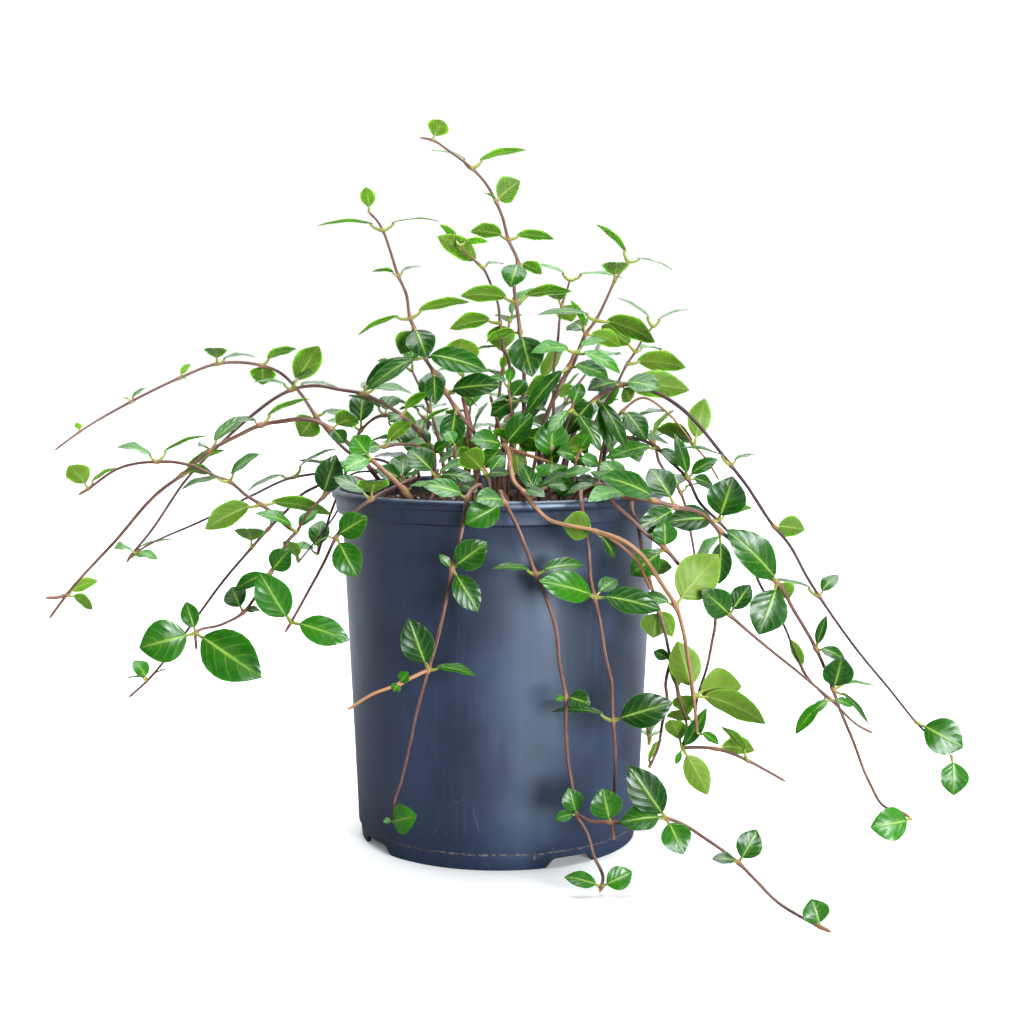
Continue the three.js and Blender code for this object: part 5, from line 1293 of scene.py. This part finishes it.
def bark_paint(code):
    paint = Paint(f"bark {code}", Roughness=0.55, Specular_IOR_Level=0.4)
    ground, streak, bloom_and_highlight = BARKS[code]
    grain = paint.attribute("grain", "Vector")
    fine = paint.node("TexNoise", None, {"Vector": grain, "Scale": 3.2, "Detail": 3.0,
                                         "Roughness": 0.65})
    long = paint.node("TexNoise", None, {"Vector": grain, "Scale": 1.1, "Detail": 2.0})
    colour = paint.mix(fine.step(0.38, 0.66), ground, streak)
    # Painted highlight: the pale bloom streaks also stand for pinkish highlight lines along the stems.
    colour = paint.mix(long.step(0.52, 0.75) * 0.6, colour, bloom_and_highlight)
    colour = paint.mix(paint.attribute("age").step(0.82, 1.0) * 0.45, colour, (0.17, 0.055, 0.03))
    colour = paint.mix(paint.attribute("pale") * fine.step(0.3, 0.6, 0.6, 1), colour, TAN)
    paint.feed("Base Color", colour)
    paint.bump(fine, 0.25, 0.7)
    return paint.material


bark_paints = {code: bark_paint(code) for code in BARKS}
total = 0
for runner in runners:
    stems = grow_stems(runner)
    stems.data.materials.append(bark_paints[runner["bark"]])
    smooth(stems, 70)
    total += hand_in(stems, "bark", runner["name"])
print("stems:", total, "triangles")

# %% [markdown]
# ### Leaf paints
# The upper side is a deep glossy green. Its midrib is pale and broad at the foot, and five to seven
# side veins leave it on each half and curve forward to the margin, with the blade slightly raised
# between them. These follow the leaf's own map: across it is 0 to 1 from margin to margin, and along
# it is 0 to 1 from foot to tip, so the veins bend with every copy. The underside is a pale yellowish
# green and duller. Young leaves, and those that the light shines through, are brighter. A few old
# leaves are speckled brown, and one in the middle has a pale scar beside its midrib.


# %% Leaf paints
VEINS = 6.5


def vein_map(paint):
    """Place across the blade, distance from the midrib, place along it, and how far the closest
    side vein is."""
    across, along = (paint.part(paint.node("TexCoord", output="UV"), axis) for axis in "XY")
    away = abs(across * 2 - 1)
    stagger = (across - 0.5).step(-0.02, 0.02) * 0.4
    wave = paint.node("Math", {"operation": "PINGPONG"}, {
        0: (along - away ** 1.25 * 0.26) * VEINS + stagger, 1: 0.5}) * 2
    return across, away, along, wave


def leaf_paint(name, dark, light, rib, shine, glow):
    paint = Paint(name, Specular_IOR_Level=0.38, Subsurface_Weight=glow, Subsurface_Scale=1.6 * MM,
                  Subsurface_Radius=(0.35, 1.0, 0.12))
    paint.shader.subsurface_method = "RANDOM_WALK"
    across, away, along, wave = vein_map(paint)
    tone = paint.attribute("tone")
    blotch = paint.noise(6, 3, 0.6)
    colour = paint.mix((tone + (blotch - 0.5) * 0.5).step(0.0, 1.0), dark, light)
    side_vein = wave.step(0.24, 0.0) * away.step(1.0, 0.55) * along.step(1.0, 0.75)
    near_rib = away.step(0.5, 0.0) * 0.22
    colour = paint.mix(side_vein * 0.20 + near_rib * 0.5, colour, rib)
    midrib = (away + along * 0.035).step(0.115, 0.045)
    colour = paint.mix(midrib * along.step(1.05, 0.2, 0.3, 0.95), colour, rib)
    # Painted highlight: a thin pale line along the margin, where the edge catches the light.
    colour = paint.mix(away.step(0.955, 1.0) * 0.4, colour, rib)
    scar = (blotch - (across - 0.46) ** 2 * 40 - (along - 0.27) ** 2 * 9).step(0.40, 0.47)
    colour = paint.mix(scar * paint.attribute("scar"), colour, (0.42, 0.30, 0.20))
    specks = paint.noise(1.7, 1).step(0.70, 0.76) * paint.attribute("worn")
    colour = paint.mix(specks * 0.7, colour, (0.16, 0.10, 0.03))
    paint.feed("Base Color", colour)
    paint.feed("Roughness", paint.noise(4, 2).step(0.3, 0.7, shine, shine + 0.14))
    quilt = wave ** 0.6 * away.step(0.0, 0.3) * 0.8 - midrib * 0.7 + blotch * 0.25
    paint.bump(quilt * paint.attribute("size"), 0.5, 0.32)
    return paint.material


upper = leaf_paint("leaf upper side", (0.003, 0.038, 0.002), (0.024, 0.170, 0.002),
                   (0.22, 0.38, 0.055), 0.24, 0.12)
under = leaf_paint("leaf underside", (0.080, 0.165, 0.008), (0.165, 0.270, 0.020),
                   (0.24, 0.34, 0.06), 0.50, 0.35)
stalk = Paint("petiole", Roughness=0.45, Subsurface_Weight=0.2, Subsurface_Scale=MM)
stalk.feed("Base Color", stalk.mix(stalk.noise(3, 2), (0.15, 0.22, 0.027), (0.32, 0.34, 0.058)))

# %% [markdown]
# ## One leaf
# A leaf is leathery, under a millimetre thick, elliptic with a short point, and folded a little
# along its midrib. It is modelled once, lying flat, as two sheets that meet at a thin margin: the
# upper one is drawn in to the outline row by row and swells on both sides of its grooved midrib, and
# the lower one hangs down in a keel. Its petiole is a five-sided rod with a swollen foot.

# %% Leaf master
LEAF_SPAN = 24
LEAF_WIDTH = 14
SWELL = 0.4
KEEL = 0.5
PETIOLE_RADIUS = 0.62
PETIOLE_KNEE = 0.22
PETIOLE_MIDDLE = 0.6
FOOT_SWELL = 1.7
KNEE_SWELL = 1.35
LEAF_ROWS = [(0, 0), (0.025, 0.22), (0.10, 0.52), (0.20, 0.78), (0.32, 0.94), (0.45, 1.0),
             (0.58, 0.96), (0.71, 0.80), (0.83, 0.54), (0.93, 0.25), (1, 0)]
GRID_ROWS = len(LEAF_ROWS) - 1


def leaf_side(columns):
    """One side of a blade as a sheet, drawn in to the outline row by row, a point at each end."""
    deselect_all()
    bpy.ops.mesh.primitive_grid_add(x_subdivisions=columns, y_subdivisions=GRID_ROWS, size=1,
                                    location=(0, 0.5, 0))
    sheet = bpy.context.object
    bpy.ops.object.transform_apply(location=True, rotation=True, scale=True)
    start_edit(sheet)
    for row, (station, half) in enumerate(LEAF_ROWS[1:-1], 1):
        pick(sheet, lambda at: abs(at.y - row / GRID_ROWS) < 1e-4)
        bpy.ops.transform.resize(value=(half, 1, 1))
        bpy.ops.transform.translate(value=(0, station - row / GRID_ROWS, 0))
    for end in (0, 1):
        pick(sheet, lambda at: abs(at.y - end) < 1e-4)
        bpy.ops.mesh.merge(type="CENTER")
    bpy.ops.mesh.select_all(action="SELECT")
    bpy.ops.transform.resize(value=(LEAF_WIDTH * MM, LEAF_SPAN * MM, 1),
                             center_override=(0, 0, 0))
    end_edit()
    for paint in (upper, under, stalk.material):
        sheet.data.materials.append(paint)
    return sheet


def inside_edge(y):
    """Just inside the margin at a distance from the foot."""
    return 0.95 * LEAF_WIDTH / 2 * MM * np.interp(y / (LEAF_SPAN * MM), *zip(*LEAF_ROWS)) + 1e-9


def leaf_master():
    top = leaf_side(4)
    start_edit(top)
    inside = LEAF_WIDTH * 0.05 * MM
    pick(top, lambda at: abs(at.x) > inside and -1 < at.x / inside_edge(at.y) < 1)
    bpy.ops.transform.translate(value=(0, 0, SWELL * MM))
    end_edit()
    below = leaf_side(2)
    start_edit(below)
    pick(below, lambda at: abs(at.x) < inside and 0.01 < at.y / (LEAF_SPAN * MM) < 0.95)
    bpy.ops.transform.translate(value=(0, 0, -KEEL * MM))
    bpy.ops.mesh.select_all(action="SELECT")
    bpy.ops.mesh.flip_normals()
    end_edit()
    for face in below.data.polygons:
        face.material_index = 1
    blade = join([top, below])
    blade.name = "leaf"
    start_edit(blade)
    bpy.ops.mesh.select_all(action="SELECT")
    bpy.ops.mesh.remove_doubles(threshold=0.002 * MM)
    end_edit()
    return blade


def petiole_master():
    deselect_all()
    bpy.ops.mesh.primitive_cylinder_add(vertices=5, radius=PETIOLE_RADIUS * MM, depth=1,
                                        location=(0, 0, 0.5))
    rod = bpy.context.object
    rod.name = "petiole"
    bpy.ops.object.transform_apply(location=True, rotation=True, scale=True)
    start_edit(rod)
    for height in (PETIOLE_KNEE, PETIOLE_MIDDLE):
        bpy.ops.mesh.select_all(action="SELECT")
        bpy.ops.mesh.bisect(plane_co=(0, 0, height), plane_no=(0, 0, 1))
    for height, swell in ((0, FOOT_SWELL), (PETIOLE_KNEE, KNEE_SWELL)):
        pick(rod, lambda at: abs(at.z - height) < 0.01)
        bpy.ops.transform.resize(value=(swell, swell, 1))
    end_edit()
    for paint in (upper, under, stalk.material):
        rod.data.materials.append(paint)
    for face in rod.data.polygons:
        face.material_index = 2
    return rod


leaf = leaf_master()
rod = petiole_master()
print("leaf:", len(leaf.data.polygons), "faces, petiole:", len(rod.data.polygons))
blade_points = len(leaf.data.vertices)
leaf = join([leaf, rod])
master = np.array([v.co[:] for v in leaf.data.vertices]) / MM

# %% [markdown]
# ## Every leaf in its place
# Each copy of the master is bent to its own frame: its length and width, the fold and the arch of
# its blade, and, by seeded draws, a slight wave of the margin and a curl of the tip. Its petiole is
# led in a bend from the stem to the foot of the blade.


# %% Leaves
WORN_SHARE = 0.16
SCARRED_TIP = (26, -32, 214)


def bend_leaf(place, draw):
    """The master's points, in millimetres, moved to one leaf's place."""
    across, t, thick = master[:blade_points].T
    t = t / LEAF_SPAN
    reach = across / (LEAF_WIDTH / 2) * place.width / 2
    wave = 0.05 * place.width * np.sin(2 * np.pi * (1.7 * t + draw.random())) \
        * (across / (LEAF_WIDTH / 2)) ** 2
    curl = draw.uniform(-0.10, 0.22) * place.span * np.clip(t - 0.6, 0, 1) ** 2
    thick = thick * min(1.2, place.width / LEAF_WIDTH)
    lift = place.lift(t, reach) + wave * np.sign(draw.random() - 0.5) - curl + thick
    blade = (place.start + np.outer(t * place.span, place.blade) + np.outer(reach, place.side)
             + np.outer(lift, place.normal))
    x, y, share = master[blade_points:].T
    share = share * MM
    root = place.node
    bend = place.node + place.way * 0.75 * np.linalg.norm(place.start - place.node)
    foot = place.start + place.blade * 0.06 * place.span - place.normal * 0.15
    near, middle, far = (1 - share) ** 2, 2 * share * (1 - share), share ** 2
    centre = np.outer(near, root) + np.outer(middle, bend) + np.outer(far, foot)
    heading = np.outer(1 - share, bend - root) + np.outer(share, foot - bend)
    heading /= np.linalg.norm(heading, axis=1)[:, None]
    side = place.side - heading * (heading @ place.side)[:, None]
    side /= np.linalg.norm(side, axis=1)[:, None]
    size = min(1.15, 0.55 + place.length / 45)
    petiole = centre + side * (x * size)[:, None] + np.cross(heading, side) * (y * size)[:, None]
    return np.concatenate([blade, petiole])


def grow_leaves(runner):
    draw = random.Random(runner["name"] + " leaves")
    copies = []
    for place in runner["leaves"]:
        made = copy_of(leaf, "copy")
        made.data.vertices.foreach_set("co", (bend_leaf(place, draw) * MM).ravel())
        young = max(0, 0.25 - place.age) * 1.8 + max(0, 14 - place.length) * 0.02
        tone = min(1, max(0, draw.gauss(0.30, 0.16) + young))
        worn = draw.uniform(0.4, 1) if draw.random() < WORN_SHARE * (0.5 + place.age) else 0
        scarred = float(math.dist(place.tip, SCARRED_TIP) < 3)
        size = min(1, place.span / LEAF_SPAN)
        for name, value in (("tone", tone), ("worn", worn), ("scar", scarred), ("size", size)):
            made.data.attributes.new(name, "FLOAT", "POINT").data.foreach_set(
                "value", [value] * len(made.data.vertices))
        copies.append(made)
    return join(copies)


total = 0
for runner in runners:
    if runner["leaves"]:
        foliage = grow_leaves(runner)
        foliage.name = runner["name"] + "_leaves"
        smooth(foliage, 60)
        total += hand_in(foliage, "foliage", runner["name"])
bpy.data.objects.remove(leaf)
print("leaves:", total, "triangles")
